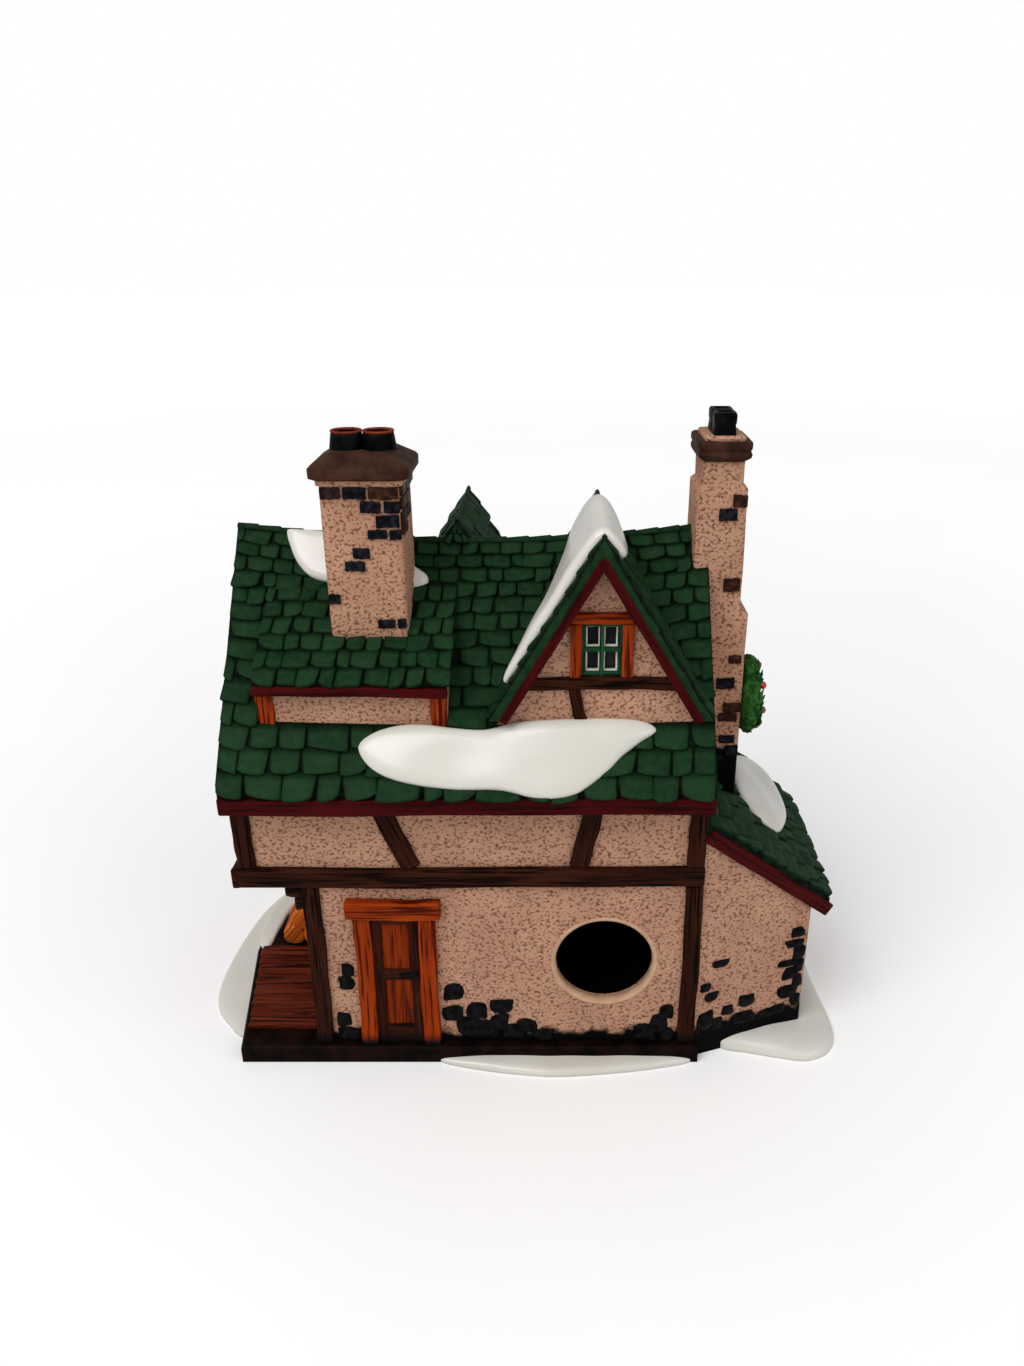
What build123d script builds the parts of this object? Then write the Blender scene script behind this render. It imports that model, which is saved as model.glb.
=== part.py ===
from build123d import *
import math
import os

# A lighted ceramic village house, half-timbered, with a shingled roof that sags along its ridge.
# The rear, with the lamp hole, faces -Y, +X is to the right of it and +Z is up.
# The origin is on the ground, at the middle of the snow that the house stands in.

# Ceramic body
wall = 3.5
overrun = 3.0
joint_gap = 0.3
probe = 0.01

# Ground outline and snow on the ground
left_margin = 10.75
right_margin = 12.35
rear_margin = 10.0
front_margin = 18.0
ground_snow_height = 3.6
ground_snow_round = 1.5
drift_height = 2.8
drift_round = 1.2
ground_snow_shares = (
    (0.59, -0.66), (0.635, -0.775), (0.71, -0.81), (0.80, -0.85), (0.89, -0.875),
    (0.965, -0.80), (0.998, -0.62),
    (0.984, -0.20), (0.975, 0.25), (0.945, 0.66), (0.84, 0.90), (0.60, 0.965), (0.30, 0.99),
    (0.0, 1.0), (-0.35, 0.985), (-0.67, 0.95), (-0.86, 0.84), (-0.945, 0.60), (-0.985, 0.25),
    (-1.0, -0.14), (-0.983, -0.40), (-0.925, -0.57), (-0.83, -0.70),
)
ground_snow_inner_shares = ((-0.70, -0.40), (0.45, -0.40))
drift_shares = (
    (0.436, 0.0), (0.52, 0.54), (0.61, 0.86), (0.70, 1.0), (0.83, 0.73), (0.917, 0.42), (0.984, 0.0),
)

# House block
house_depth = 90.0
ground_length = 127.4
jetty = 19.0
storey_height = 70.0
plinth_height = 6.4
plinth_margin = 3.0
plinth_step = 1.4

# Lamp hole
lamp_hole_radius = 16.0
lamp_hole_height = 39.7
lamp_hole_inset = 30.9
lamp_hole_bevel = 0.8

# Main roof
eave_overhang = 7.0
verge_overhang = 1.0
eave_above = 39.4
ridge_above = 64.9
eave_sag = 0.8
ridge_sag = 5.0
roof_thickness = 4.2
light_well = 18.0
fascia_height = 6.0
fascia_thickness = 1.5
fascia_drop = 2.4
ridge_tile_leg = 3.6
ridge_tile_thickness = 1.2
ridge_tile_length = 8.0

# Shingles
shingle_exposure = 6.1
shingle_width = 7.6
shingle_thickness = 1.5
shingle_joint = 0.45
shingle_lift = 0.03
shingle_overhang = 2.7
joint_shares = (0.0, 0.13, -0.11, 0.18, -0.15, 0.06, -0.05)

# Shed dormer on the rear slope
shed_left_inset = 12.0
shed_length = 55.5
shed_setback = 5.6
shed_eave_overhang = 2.6
shed_eave_above = 29.0
shed_pitch = 33.0
shed_roof_thickness = 3.0
shed_fascia_height = 3.4
shed_post_width = 5.0
shed_post_proud = 0.9

# Cross gable, which looks to the rear
gable_pitch = 59.0
gable_roof_thickness = 3.4
cross_gable_inset = 33.4
cross_gable_above = 7.7
cross_gable_setback = 5.3
cross_gable_overhang = 5.0
cross_tip_above = 17.6
cross_gable_beyond = 12.0
bargeboard_width = 3.6
bargeboard_thickness = 2.0
collar_above = 8.3
collar_depth = 3.9
timber_proud = 1.3
strut_width = 3.6
strut_lean = 2.6
strut_offset = 9.8

# Front gable
front_gable_offset = 49.4
front_gable_above = 0.9
front_gable_setback = 2.0
front_gable_overhang = 5.0
front_tip_above = 11.6

# Windows
sash_width = 11.9
sash_height_share = 0.429
sash_thickness = 1.8
sash_inset = 0.5
sash_bar = 1.7
casing_width = 3.3
casing_proud = 1.6
front_ground_shares = (0.13, 0.63, 0.84)
front_upper_shares = (0.11, 0.47, 0.87)
jetty_shares = (0.25, 0.75)

# Timber relief on the walls
beam_height = 6.7
beam_proud = 2.2
post_width = 5.6
post_proud = 1.6
brace_width = 6.4
brace_shares = ((0.273, 0.0786), (0.7445, -0.0362))
bracket_reach = 5.4
bracket_drop = 10.0

# Rear door
door_inset = 15.4
door_outer_width = 26.4
door_lintel_width = 30.5
door_lintel_height = 6.5
door_lintel_proud = 3.4
door_jamb_width = 5.6
door_jamb_proud = 2.4
door_head_below = 11.8
door_leaf_thickness = 1.4
door_panel_depth = 0.7
door_stile = 2.6
door_lock_rail = 5.0
latch_length = 7.0
latch_height = 1.6
latch_proud = 1.0

# Front door
front_door_share = 0.425

# Lean-to
lean_to_length = 39.0
lean_to_cant = 13.7
lean_to_front_inset = 6.0
lean_to_above = 23.0
lean_to_pitch = 40.5
lean_to_roof_thickness = 3.6
lean_to_eave_overhang = 6.2
lean_to_verge_overhang = 1.2
lean_to_board_height = 5.0

# Left chimney
left_chimney_inset = 31.9
left_chimney_width = 23.5
left_chimney_depth = 23.5
left_chimney_setback = 16.0
left_chimney_above = 22.0
left_chimney_band = 3.2
left_chimney_band_proud = 0.9
left_cap_overhang = 2.4
left_cap_rim = 2.4
left_cap_rise = 3.2
left_cap_inset = 5.4
pot_radius = 4.6
pot_height = 5.6
pot_wall = 1.4
pot_waist = 0.7
pot_rim_height = 1.3

# Right chimney
right_chimney_setback = 36.0
right_chimney_depth = 20.0
right_lower_width = 14.8
right_shaft_left = 4.0
right_shaft_width = 16.0
right_neck_width = 12.9
right_shoulder_below = 26.3
right_neck_above = 14.7
right_chimney_above = 21.7
right_shoulder_rise = 2.4
right_cap_height = 6.0
right_cap_overhang = 2.0
right_cap_moulding = 1.5
right_slab_height = 1.3
right_pot_width = 7.4
right_pot_height = 7.2
right_pot_wall = 1.5
right_pot_depth = 3.0

# Bricks and stones that show through the stucco
brick_proud = 0.7
stone_proud = 0.8
left_brick_shares = (
    (0.02, 0.27, 0.92, 0.995), (0.30, 0.58, 0.92, 0.995), (0.61, 0.97, 0.92, 0.995),
    (0.50, 0.75, 0.83, 0.905), (0.79, 0.985, 0.83, 0.905), (0.68, 0.97, 0.735, 0.815),
    (0.57, 0.81, 0.66, 0.72), (0.84, 0.985, 0.655, 0.72), (0.37, 0.58, 0.53, 0.60),
    (0.26, 0.51, 0.445, 0.51), (0.02, 0.17, 0.22, 0.285), (0.62, 0.84, 0.05, 0.11),
    (0.87, 0.985, 0.05, 0.115),
)
right_brick_shares = (
    (0.70, 0.98, 0.93, 0.97), (0.45, 0.80, 0.885, 0.925), (0.62, 0.95, 0.645, 0.69),
    (0.60, 0.90, 0.385, 0.415), (0.35, 0.78, 0.29, 0.33), (0.55, 0.97, 0.20, 0.235),
    (0.45, 0.90, 0.165, 0.195), (0.50, 0.88, 0.08, 0.11), (0.66, 0.98, 0.03, 0.07),
)
rear_stone_shares = (
    (0.072, 0.15, 0.018, 0.050), (0.084, 0.055, 0.030, 0.045), (0.094, 0.47, 0.018, 0.040),
    (0.088, 0.39, 0.022, 0.040), (0.362, 0.19, 0.026, 0.055), (0.365, 0.33, 0.026, 0.055),
    (0.40, 0.10, 0.030, 0.070), (0.425, 0.205, 0.026, 0.060), (0.45, 0.085, 0.036, 0.060),
    (0.485, 0.135, 0.024, 0.055), (0.49, 0.24, 0.034, 0.042), (0.52, 0.07, 0.030, 0.050),
    (0.555, 0.105, 0.026, 0.050), (0.87, 0.06, 0.032, 0.055), (0.905, 0.12, 0.026, 0.060),
    (0.925, 0.20, 0.018, 0.050), (0.925, 0.05, 0.022, 0.050), (0.60, 0.045, 0.030, 0.040),
)
lean_stone_shares = (
    (0.08, 0.52, 0.05, 0.030), (0.14, 0.44, 0.06, 0.034), (0.20, 0.68, 0.07, 0.028),
    (0.10, 0.26, 0.07, 0.075), (0.30, 0.30, 0.06, 0.035), (0.47, 0.34, 0.07, 0.050),
    (0.46, 0.21, 0.11, 0.045), (0.68, 0.20, 0.10, 0.030), (0.86, 0.33, 0.06, 0.050),
    (0.86, 0.47, 0.06, 0.045), (0.93, 0.62, 0.05, 0.045), (0.90, 0.78, 0.05, 0.035),
)

# Boardwalk, firewood and wreath on the left and right
deck_width = 26.0
deck_flare = 8.0
deck_rear_inset = 6.0
deck_length = 44.0
deck_planks = 8
plank_thickness = 1.6
log_radius = 3.4
log_length = 22.0
log_row = 3
wreath_radius = 9.8
wreath_tube = 3.9
wreath_above = 6.3
berry_radius = 1.3
berry_turns = (15, 75, 110, 160, 215, 260, 310)

# Snow lying on the roofs
roof_snow_thickness = 2.6
eave_snow_shares = (
    (0.285, 0.16), (0.35, 0.205), (0.44, 0.215), (0.535, 0.175), (0.60, 0.24), (0.70, 0.255),
    (0.83, 0.25), (0.875, 0.215), (0.81, 0.16), (0.77, 0.085), (0.71, 0.02), (0.64, 0.005), (0.56, 0.04),
    (0.46, 0.04), (0.36, 0.075), (0.30, 0.125),
)
gable_snow_shares = (
    (0.22, 0.15), (0.20, 0.45), (0.06, 0.84), (-0.14, 0.84), (-0.22, 0.52), (-0.42, 0.26),
    (-0.78, 0.10), (-0.80, 0.04), (-0.55, 0.025), (-0.20, 0.03), (0.06, 0.05),
)
chimney_snow_shares = (
    (0.11, 0.915), (0.125, 0.87), (0.155, 0.83), (0.20, 0.80), (0.28, 0.79), (0.37, 0.79),
    (0.405, 0.82), (0.385, 0.87), (0.36, 0.91), (0.23, 0.915),
)
lean_to_snow_shares = (
    (0.30, 0.90), (0.20, 0.92), (0.13, 0.80), (0.12, 0.58), (0.27, 0.35), (0.40, 0.31), (0.53, 0.36),
    (0.57, 0.50), (0.42, 0.80),
)

# Places that follow from the sizes above
base_width = left_margin + deck_flare + deck_width + ground_length + lean_to_length + right_margin
base_depth = rear_margin + house_depth + front_margin
house_right = base_width / 2 - right_margin - lean_to_length
rear_y = rear_margin - base_depth / 2
front_y = rear_y + house_depth
ridge_y = (rear_y + front_y) / 2
left_x = house_right - ground_length
jetty_x = left_x - jetty
eave_height = storey_height + eave_above
ridge_height = eave_height + ridge_above
sash_height = sash_height_share * eave_above
door_top = storey_height - door_head_below
roof_left = jetty_x - verge_overhang
roof_right = house_right + verge_overhang
roof_length = roof_right - roof_left
roof_middle = (roof_left + roof_right) / 2
rear_eave_y = rear_y - eave_overhang
front_eave_y = front_y + eave_overhang
roof_span = ridge_y - rear_eave_y
roof_rise = (ridge_height - eave_height) / roof_span
roof_pitch = math.atan(roof_rise)
roof_drop = roof_thickness / math.cos(roof_pitch)
slope_length = roof_span / math.cos(roof_pitch)

shed_eave_height = eave_height + shed_eave_above
shed_left = jetty_x + shed_left_inset
shed_right = shed_left + shed_length
shed_wall_y = rear_y + shed_setback
shed_eave_y = shed_wall_y - shed_eave_overhang
shed_rise = math.tan(math.radians(shed_pitch))
shed_drop = shed_roof_thickness / math.cos(math.radians(shed_pitch))

gable_rise = math.tan(math.radians(gable_pitch))
gable_drop = gable_roof_thickness / math.cos(math.radians(gable_pitch))
gable_clear = shingle_thickness / math.sin(math.radians(gable_pitch)) + joint_gap
cross_gable_height = ridge_height + cross_gable_above
cross_gable_tip = eave_height + cross_tip_above
collar_height = cross_gable_tip + collar_above
cross_gable_x = house_right - cross_gable_inset
cross_gable_wall_y = rear_y + cross_gable_setback
cross_gable_verge_y = cross_gable_wall_y - cross_gable_overhang
cross_gable_end_y = ridge_y + cross_gable_beyond
front_gable_height = ridge_height + front_gable_above
front_gable_tip = eave_height + front_tip_above
front_gable_x = left_x + front_gable_offset
front_gable_wall_y = front_y - front_gable_setback
front_gable_verge_y = front_gable_wall_y + front_gable_overhang

lean_to_roof_height = storey_height + lean_to_above
lean_to_right = house_right + lean_to_length
lean_to_front_y = front_y - lean_to_front_inset
lean_to_rise = math.tan(math.radians(lean_to_pitch))
lean_to_drop = lean_to_roof_thickness / math.cos(math.radians(lean_to_pitch))
lean_to_eave_x = lean_to_right + lean_to_eave_overhang
lean_to_eave_height = lean_to_roof_height - lean_to_rise * (lean_to_eave_x - house_right)
lean_to_turn = math.atan2(lean_to_cant, lean_to_length)
lean_to_wall_length = math.hypot(lean_to_length, lean_to_cant)

left_chimney_height = ridge_height + left_chimney_above
right_shoulder_height = ridge_height - right_shoulder_below
right_neck_height = ridge_height + right_neck_above
right_chimney_height = ridge_height + right_chimney_above
wreath_height = eave_height + wreath_above
left_chimney_x = jetty_x + left_chimney_inset
left_chimney_y = rear_y + left_chimney_setback
right_chimney_y = rear_y + right_chimney_setback
right_shaft_x = house_right - right_shaft_left
right_chimney_face_x = house_right + right_lower_width

door_left = left_x + door_inset
door_middle = door_left + door_outer_width / 2
deck_left_x = left_x - deck_width
log_row_y = rear_y + deck_rear_inset + deck_length + log_radius

# Wall faces, each seen from outside, with local x to the right and local y up
rear_face = Plane(origin=(0, rear_y, 0), x_dir=(1, 0, 0), z_dir=(0, -1, 0))
front_face = Plane(origin=(0, front_y, 0), x_dir=(-1, 0, 0), z_dir=(0, 1, 0))
left_face = Plane(origin=(left_x, 0, 0), x_dir=(0, -1, 0), z_dir=(-1, 0, 0))
jetty_face = Plane(origin=(jetty_x, 0, 0), x_dir=(0, -1, 0), z_dir=(-1, 0, 0))
right_face = Plane(origin=(house_right, 0, 0), x_dir=(0, 1, 0), z_dir=(1, 0, 0))
shed_face = Plane(origin=(0, shed_wall_y, 0), x_dir=(1, 0, 0), z_dir=(0, -1, 0))
cross_gable_face = Plane(origin=(0, cross_gable_wall_y, 0), x_dir=(1, 0, 0), z_dir=(0, -1, 0))
front_gable_face = Plane(origin=(0, front_gable_wall_y, 0), x_dir=(-1, 0, 0), z_dir=(0, 1, 0))
lean_to_face = Plane(origin=(lean_to_right, 0, 0), x_dir=(0, 1, 0), z_dir=(1, 0, 0))
lean_to_cant_face = Plane(
    origin=(house_right, rear_y, 0),
    x_dir=(math.cos(lean_to_turn), math.sin(lean_to_turn), 0),
    z_dir=(math.sin(lean_to_turn), -math.cos(lean_to_turn), 0),
)
left_chimney_face = Plane(origin=(0, left_chimney_y, 0), x_dir=(1, 0, 0), z_dir=(0, -1, 0))
right_chimney_face = Plane(origin=(0, right_chimney_y, 0), x_dir=(1, 0, 0), z_dir=(0, -1, 0))


# Sketch helpers
def outline(plane, *points):
    """A straight-sided face on a plane."""
    with BuildSketch(plane) as face:
        with BuildLine():
            Polyline(*points, close=True)
        make_face()
    return face.sketch


def board(plane, left, bottom, right, top):
    """A rectangle on a plane, by its two corners."""
    return outline(plane, (left, bottom), (right, bottom), (right, top), (left, top))


def curved(plane, points):
    """A face on a plane inside a smooth closed curve."""
    with BuildSketch(plane) as face:
        with BuildLine():
            Spline(*points, periodic=True)
        make_face()
    return face.sketch


def sagging(profile):
    """A roof profile at both ends of the roof and, let down by its sag, in the middle."""
    stations = ((roof_left, 0), (roof_middle, 1), (roof_right, 0))
    return [
        outline(Plane.YZ.offset(x), *[(y, z - sag * let_down) for y, z, sag in profile])
        for x, let_down in stations
    ]


# The main roof as a surface
def sag_share(x):
    """How much of the sag has come at a place along the roof."""
    return 1 - (2 * (x - roof_middle) / roof_length) ** 2


def deck_height(x, y):
    """Height of the main roof's deck above a point of the ground."""
    rise_share = 1 - abs(y - ridge_y) / roof_span
    sag = eave_sag + (ridge_sag - eave_sag) * rise_share
    return eave_height + (ridge_height - eave_height) * rise_share - sag * sag_share(x)


def deck_reach(x, z):
    """How far in from the eaves the main roof's deck comes to a height."""
    share = sag_share(x)
    rise = roof_rise - share * (ridge_sag - eave_sag) / roof_span
    return min(roof_span, max(0, (z - eave_height + share * eave_sag) / rise))


def rear_deck(u, v):
    y = rear_eave_y + v * math.cos(roof_pitch)
    return Vector(roof_left + u, y, deck_height(roof_left + u, y))


def front_deck(u, v):
    y = front_eave_y - v * math.cos(roof_pitch)
    return Vector(roof_right - u, y, deck_height(roof_right - u, y))


# Shingles
def course_joints(start, end, course):
    """Ends of the shingles in one stretch of a course, staggered and a little uneven."""
    count = max(1, round((end - start) / shingle_width))
    pitch = (end - start) / count
    stagger = 0 if course % 2 else 1 / 2
    inner = [
        start + pitch * (i + stagger + joint_shares[(3 * course + i) % len(joint_shares)])
        for i in range(1 if course % 2 else 0, count)
    ]
    return [start, *inner, end]


def lay_shingles(deck, length, spans, overhang=0):
    """Wedge-shaped shingles up a deck, which stand proud at their butts and die away at their heads."""
    count = max(1, round((length + overhang) / shingle_exposure))
    exposure = (length + overhang) / count
    shingles = []
    for course in range(count):
        butt = course * exposure - overhang
        for start, end in spans(max(0, butt), butt + exposure):
            joints = course_joints(start, end, course)
            for left, right in zip(joints, joints[1:]):
                width = right - left - shingle_joint
                if width < shingle_width / 4:
                    continue
                middle = (left + right) / 2
                here = deck(middle, butt)
                along = deck(middle + probe, butt) - here
                up = deck(middle, butt + probe) - here
                wedge = Wedge(
                    width, exposure, shingle_thickness, 0, 0, width, 0,
                    align=(Align.CENTER, Align.MIN, Align.MIN), mode=Mode.PRIVATE,
                )
                seat = Plane(here, x_dir=along, z_dir=along.cross(up)).offset(shingle_lift)
                shingles.append(seat * wedge)
    return shingles


def free_spans(start, end, blocks):
    """The stretches of a course that are left clear by what stands on the roof."""
    spans = []
    for left, right in sorted(blocks):
        if left > start:
            spans.append((start, min(left, end)))
        start = max(start, right)
    if start < end:
        spans.append((start, end))
    return [(a, b) for a, b in spans if b - a > shingle_width / 2]


def gable_half(apex, z):
    """Half the width of a gable roof at a height."""
    return max(0, (apex - z) / gable_rise)


def gable_block(centre, apex, y):
    """The stretch of a course on the main roof that a gable and its shingles take up."""
    half = gable_half(apex, deck_height(centre, y)) + gable_clear
    return (centre - half, centre + half)


# Builders that serve more than one piece
def gable_roof(centre, apex, tip, start_y, end_y):
    """Two slopes that meet at a ridge along Y, cut level at their feet and seated on the main roof."""
    outer = gable_half(apex, tip)
    inner = gable_half(apex - gable_drop, tip)
    with BuildPart() as roof:
        extrude(
            outline(
                Plane.XZ.offset(-start_y),
                (centre - outer, tip), (centre, apex), (centre + outer, tip),
                (centre + inner, tip), (centre, apex - gable_drop), (centre - inner, tip),
            ),
            amount=start_y - end_y,
        )
        add(roof_block.part, mode=Mode.SUBTRACT)
    return roof


def gable_triangle(plane, middle, apex, foot):
    """The triangle of wall under a gable roof."""
    half = gable_half(apex - gable_drop, foot)
    return outline(plane, (middle - half, foot), (middle + half, foot), (middle, apex - gable_drop))


def bargeboard_outline(plane, middle, apex, tip):
    """A pair of boards under the slopes of a gable."""
    width = bargeboard_width / math.cos(math.radians(gable_pitch))
    top = apex - gable_drop
    outer = gable_half(top, tip)
    inner = gable_half(top - width, tip)
    return outline(
        plane, (middle - outer, tip), (middle, top), (middle + outer, tip),
        (middle + inner, tip), (middle, top - width), (middle - inner, tip),
    )


def gable_spans(centre, apex, tip, end_y, toward_rear):
    """Clear stretches of a gable slope between its verge and the valley or the end of its ridge."""
    def spans(butt, head):
        z = tip + head * math.sin(math.radians(gable_pitch))
        z_butt = tip + butt * math.sin(math.radians(gable_pitch))
        x = centre + gable_half(apex, z)
        reach = deck_reach(x, z_butt)
        if toward_rear:
            valley = end_y if reach >= roof_span else rear_eave_y + reach
            return [(cross_gable_verge_y, valley)] if valley > cross_gable_verge_y + shingle_width / 2 else []
        valley = end_y if reach >= roof_span else front_eave_y - reach
        return [(valley, front_gable_verge_y)] if valley < front_gable_verge_y - shingle_width / 2 else []
    return spans


def gable_shingles(centre, apex, tip, end_y, toward_rear):
    """Shingles on both slopes of a gable."""
    tilt = math.radians(gable_pitch)
    half = gable_half(apex, tip)
    length = half / math.cos(tilt)
    spans = gable_spans(centre, apex, tip, end_y, toward_rear)

    def right_slope(u, v):
        return Vector(centre + half - v * math.cos(tilt), u, tip + v * math.sin(tilt))

    def left_slope(u, v):
        return Vector(centre - half + v * math.cos(tilt), -u, tip + v * math.sin(tilt))

    def left_spans(butt, head):
        return [(-b, -a) for a, b in spans(butt, head)]

    return lay_shingles(right_slope, length, spans) + lay_shingles(left_slope, length, left_spans)


def snow_patch(points, block, pitch, crest, neighbours=()):
    """Snow of even thickness inside an outline in plan, lying on the shingles of a roof."""
    low = (shingle_thickness + shingle_lift) / math.cos(pitch)
    high = low + roof_snow_thickness / math.cos(pitch)
    with BuildPart() as patch:
        extrude(curved(Plane.XY, points), amount=crest)
        add(block.moved(Location((0, 0, high))), mode=Mode.INTERSECT)
        add(block.moved(Location((0, 0, low))), mode=Mode.SUBTRACT)
        for neighbour in neighbours:
            add(neighbour.part, mode=Mode.SUBTRACT)
    return patch


def casing(plane, middle, sill, with_sill):
    """Boards round a window: a head, two jambs and, where no beam serves, a sill."""
    half = sash_width / 2
    head = sill + sash_height
    boards = [
        board(plane, middle - half - casing_width, head, middle + half + casing_width, head + casing_width),
        board(plane, middle - half - casing_width, sill, middle - half, head),
        board(plane, middle + half, sill, middle + half + casing_width, head),
    ]
    if with_sill:
        foot = sill - casing_width
        boards.append(board(plane, middle - half - casing_width, foot, middle + half + casing_width, sill))
    return boards


def opening(plane, middle, sill):
    """The hole in a wall that takes a sash."""
    return board(plane, middle - sash_width / 2, sill, middle + sash_width / 2, sill + sash_height)


def stones(plane, length, height, shares):
    """Rough six-sided stones on a wall, each by its middle and half sizes as shares of the wall."""
    faces = []
    for x_share, z_share, half_share, rise_share in shares:
        x, z = x_share * length, z_share * height
        half, rise = half_share * length, rise_share * height
        faces.append(
            outline(
                plane, (x - half, z - rise / 3), (x - half / 2, z - rise), (x + half * 2 / 3, z - rise),
                (x + half, z + rise / 4), (x + half / 3, z + rise), (x - half * 3 / 4, z + rise * 3 / 4),
            )
        )
    return faces


# Blocks that other pieces are cut to: what lies under the roofs
rear_profile = (
    (rear_eave_y, eave_height, eave_sag), (ridge_y, ridge_height, ridge_sag),
    (ridge_y, ridge_height - roof_drop, ridge_sag), (rear_eave_y, eave_height - roof_drop, eave_sag),
)
front_profile = (
    (front_eave_y, eave_height, eave_sag), (ridge_y, ridge_height, ridge_sag),
    (ridge_y, ridge_height - roof_drop, ridge_sag), (front_eave_y, eave_height - roof_drop, eave_sag),
)

with BuildPart() as roof_block:
    loft(sagging((
        (rear_eave_y, eave_height, eave_sag), (ridge_y, ridge_height, ridge_sag),
        (front_eave_y, eave_height, eave_sag), (front_eave_y, storey_height, 0),
        (rear_eave_y, storey_height, 0),
    )))

with BuildPart() as under_roof:
    loft(sagging((
        (rear_eave_y, eave_height - roof_drop, eave_sag), (ridge_y, ridge_height - roof_drop, ridge_sag),
        (front_eave_y, eave_height - roof_drop, eave_sag), (front_eave_y, 0, 0), (rear_eave_y, 0, 0),
    )))

with BuildPart() as attic:
    add(roof_block.part)
    split(bisect_by=Plane.YZ.offset(house_right), keep=Keep.BOTTOM)

shed_far_y = ridge_y
shed_top = shed_eave_height + shed_rise * (shed_far_y - shed_eave_y)
with BuildPart() as shed_block:
    extrude(
        outline(
            Plane.YZ.offset(shed_left), (shed_eave_y, shed_eave_height), (shed_far_y, shed_top),
            (shed_far_y, storey_height), (shed_eave_y, storey_height),
        ),
        amount=shed_length,
    )

with BuildPart() as lean_to_block:
    extrude(
        outline(
            Plane.XZ.offset(-rear_eave_y), (house_right, lean_to_roof_height), (house_right, 0),
            (lean_to_eave_x, 0), (lean_to_eave_x, lean_to_eave_height),
        ),
        amount=rear_eave_y - front_eave_y,
    )

with BuildPart() as cross_gable_block:
    half = gable_half(cross_gable_height, storey_height)
    extrude(
        outline(
            Plane.XZ.offset(-cross_gable_verge_y), (cross_gable_x - half, storey_height),
            (cross_gable_x + half, storey_height), (cross_gable_x, cross_gable_height),
        ),
        amount=cross_gable_verge_y - cross_gable_end_y,
    )

# Window places: face, middle along the face, sill height and whether it has a sill of its own
cross_window = (cross_gable_face, cross_gable_x, collar_height + collar_depth, False)
front_gable_sill = front_gable_tip + sash_height / 2
front_gable_window = (front_gable_face, -front_gable_x, front_gable_sill, True)
ground_sill = storey_height / 2 - sash_height / 2
upper_sill = storey_height + beam_height + casing_width
front_ground_windows = [
    (front_face, -(left_x + ground_length * share), ground_sill, True) for share in front_ground_shares
]
front_upper_windows = [
    (front_face, -(jetty_x + (house_right - jetty_x) * share), upper_sill, True)
    for share in front_upper_shares
]
left_windows = [(left_face, -ridge_y, ground_sill, True)]
jetty_windows = [
    (jetty_face, -(rear_y + house_depth * share), upper_sill, True) for share in jetty_shares
]
lean_to_sill = lean_to_eave_height / 2 - sash_height / 2
lean_to_windows = [(lean_to_face, ridge_y, lean_to_sill, True)]
windows = [
    cross_window, front_gable_window, *front_ground_windows, *front_upper_windows,
    *left_windows, *jetty_windows, *lean_to_windows,
]


def openings(places):
    return [opening(plane, middle, sill) for plane, middle, sill, _ in places]


# Plinth under the house and the boardwalk
with BuildPart() as plinth:
    plinth_rear_y = rear_y - plinth_margin
    plinth_front_y = front_y + plinth_margin
    plinth_right_x = house_right + plinth_step
    plinth_points = (
        (deck_left_x, plinth_rear_y), (plinth_right_x, plinth_rear_y), (plinth_right_x, plinth_front_y),
        (jetty_x, plinth_front_y), (deck_left_x - deck_flare, log_row_y + log_length),
        (deck_left_x - deck_flare, 0),
    )
    extrude(outline(Plane.XY, *plinth_points), amount=plinth_height)
    chamfer(plinth.faces().sort_by(Axis.Z)[-1].edges(), plinth_step / 2)

# Lean-to casting, open towards the house
with BuildPart() as lean_to_walls:
    lean_to_plan = (
        (plinth_right_x, rear_y + (plinth_right_x - house_right) * lean_to_cant / lean_to_length),
        (lean_to_right, rear_y + lean_to_cant), (lean_to_right, lean_to_front_y),
        (plinth_right_x, lean_to_front_y),
    )
    lean_to_upper_plan = ((house_right, rear_y), *lean_to_plan[1:3], (house_right, lean_to_front_y))
    inner_right = lean_to_right - wall
    inner_rear = wall / math.cos(lean_to_turn)
    lean_to_inner_plan = (
        (house_right - overrun, rear_y + inner_rear),
        (house_right, rear_y + inner_rear),
        (inner_right, rear_y + inner_rear + lean_to_cant * (inner_right - house_right) / lean_to_length),
        (inner_right, lean_to_front_y - wall), (house_right - overrun, lean_to_front_y - wall),
    )
    extrude(outline(Plane.XY, *lean_to_plan), amount=plinth_height)
    extrude(outline(Plane.XY.offset(plinth_height), *lean_to_upper_plan), amount=lean_to_roof_height)
    extrude(
        outline(Plane.XY.offset(plinth_height + wall), *lean_to_inner_plan),
        amount=lean_to_roof_height, mode=Mode.SUBTRACT,
    )
    add(lean_to_block.part.moved(Location((0, 0, -lean_to_drop))), mode=Mode.INTERSECT)
    for hole in openings(lean_to_windows):
        extrude(hole, amount=-wall - overrun, mode=Mode.SUBTRACT)

# Snow on the ground
with BuildPart() as ground_snow:
    half_width, half_depth = base_width / 2, base_depth / 2
    outer = [(x * half_width, y * half_depth) for x, y in ground_snow_shares]
    inner = [(x * half_width, y * half_depth) for x, y in ground_snow_inner_shares]
    with BuildSketch():
        with BuildLine():
            Spline(*outer)
            Polyline(outer[-1], *inner, outer[0])
        make_face()
    extrude(amount=ground_snow_height)
    fillet(
        ground_snow.faces().sort_by(Axis.Z)[-1].edges().filter_by(GeomType.BSPLINE), ground_snow_round
    )
    extrude(outline(Plane.XY, *plinth_points), amount=plinth_height, mode=Mode.SUBTRACT)
    extrude(outline(Plane.XY, *lean_to_plan), amount=plinth_height, mode=Mode.SUBTRACT)

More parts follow.
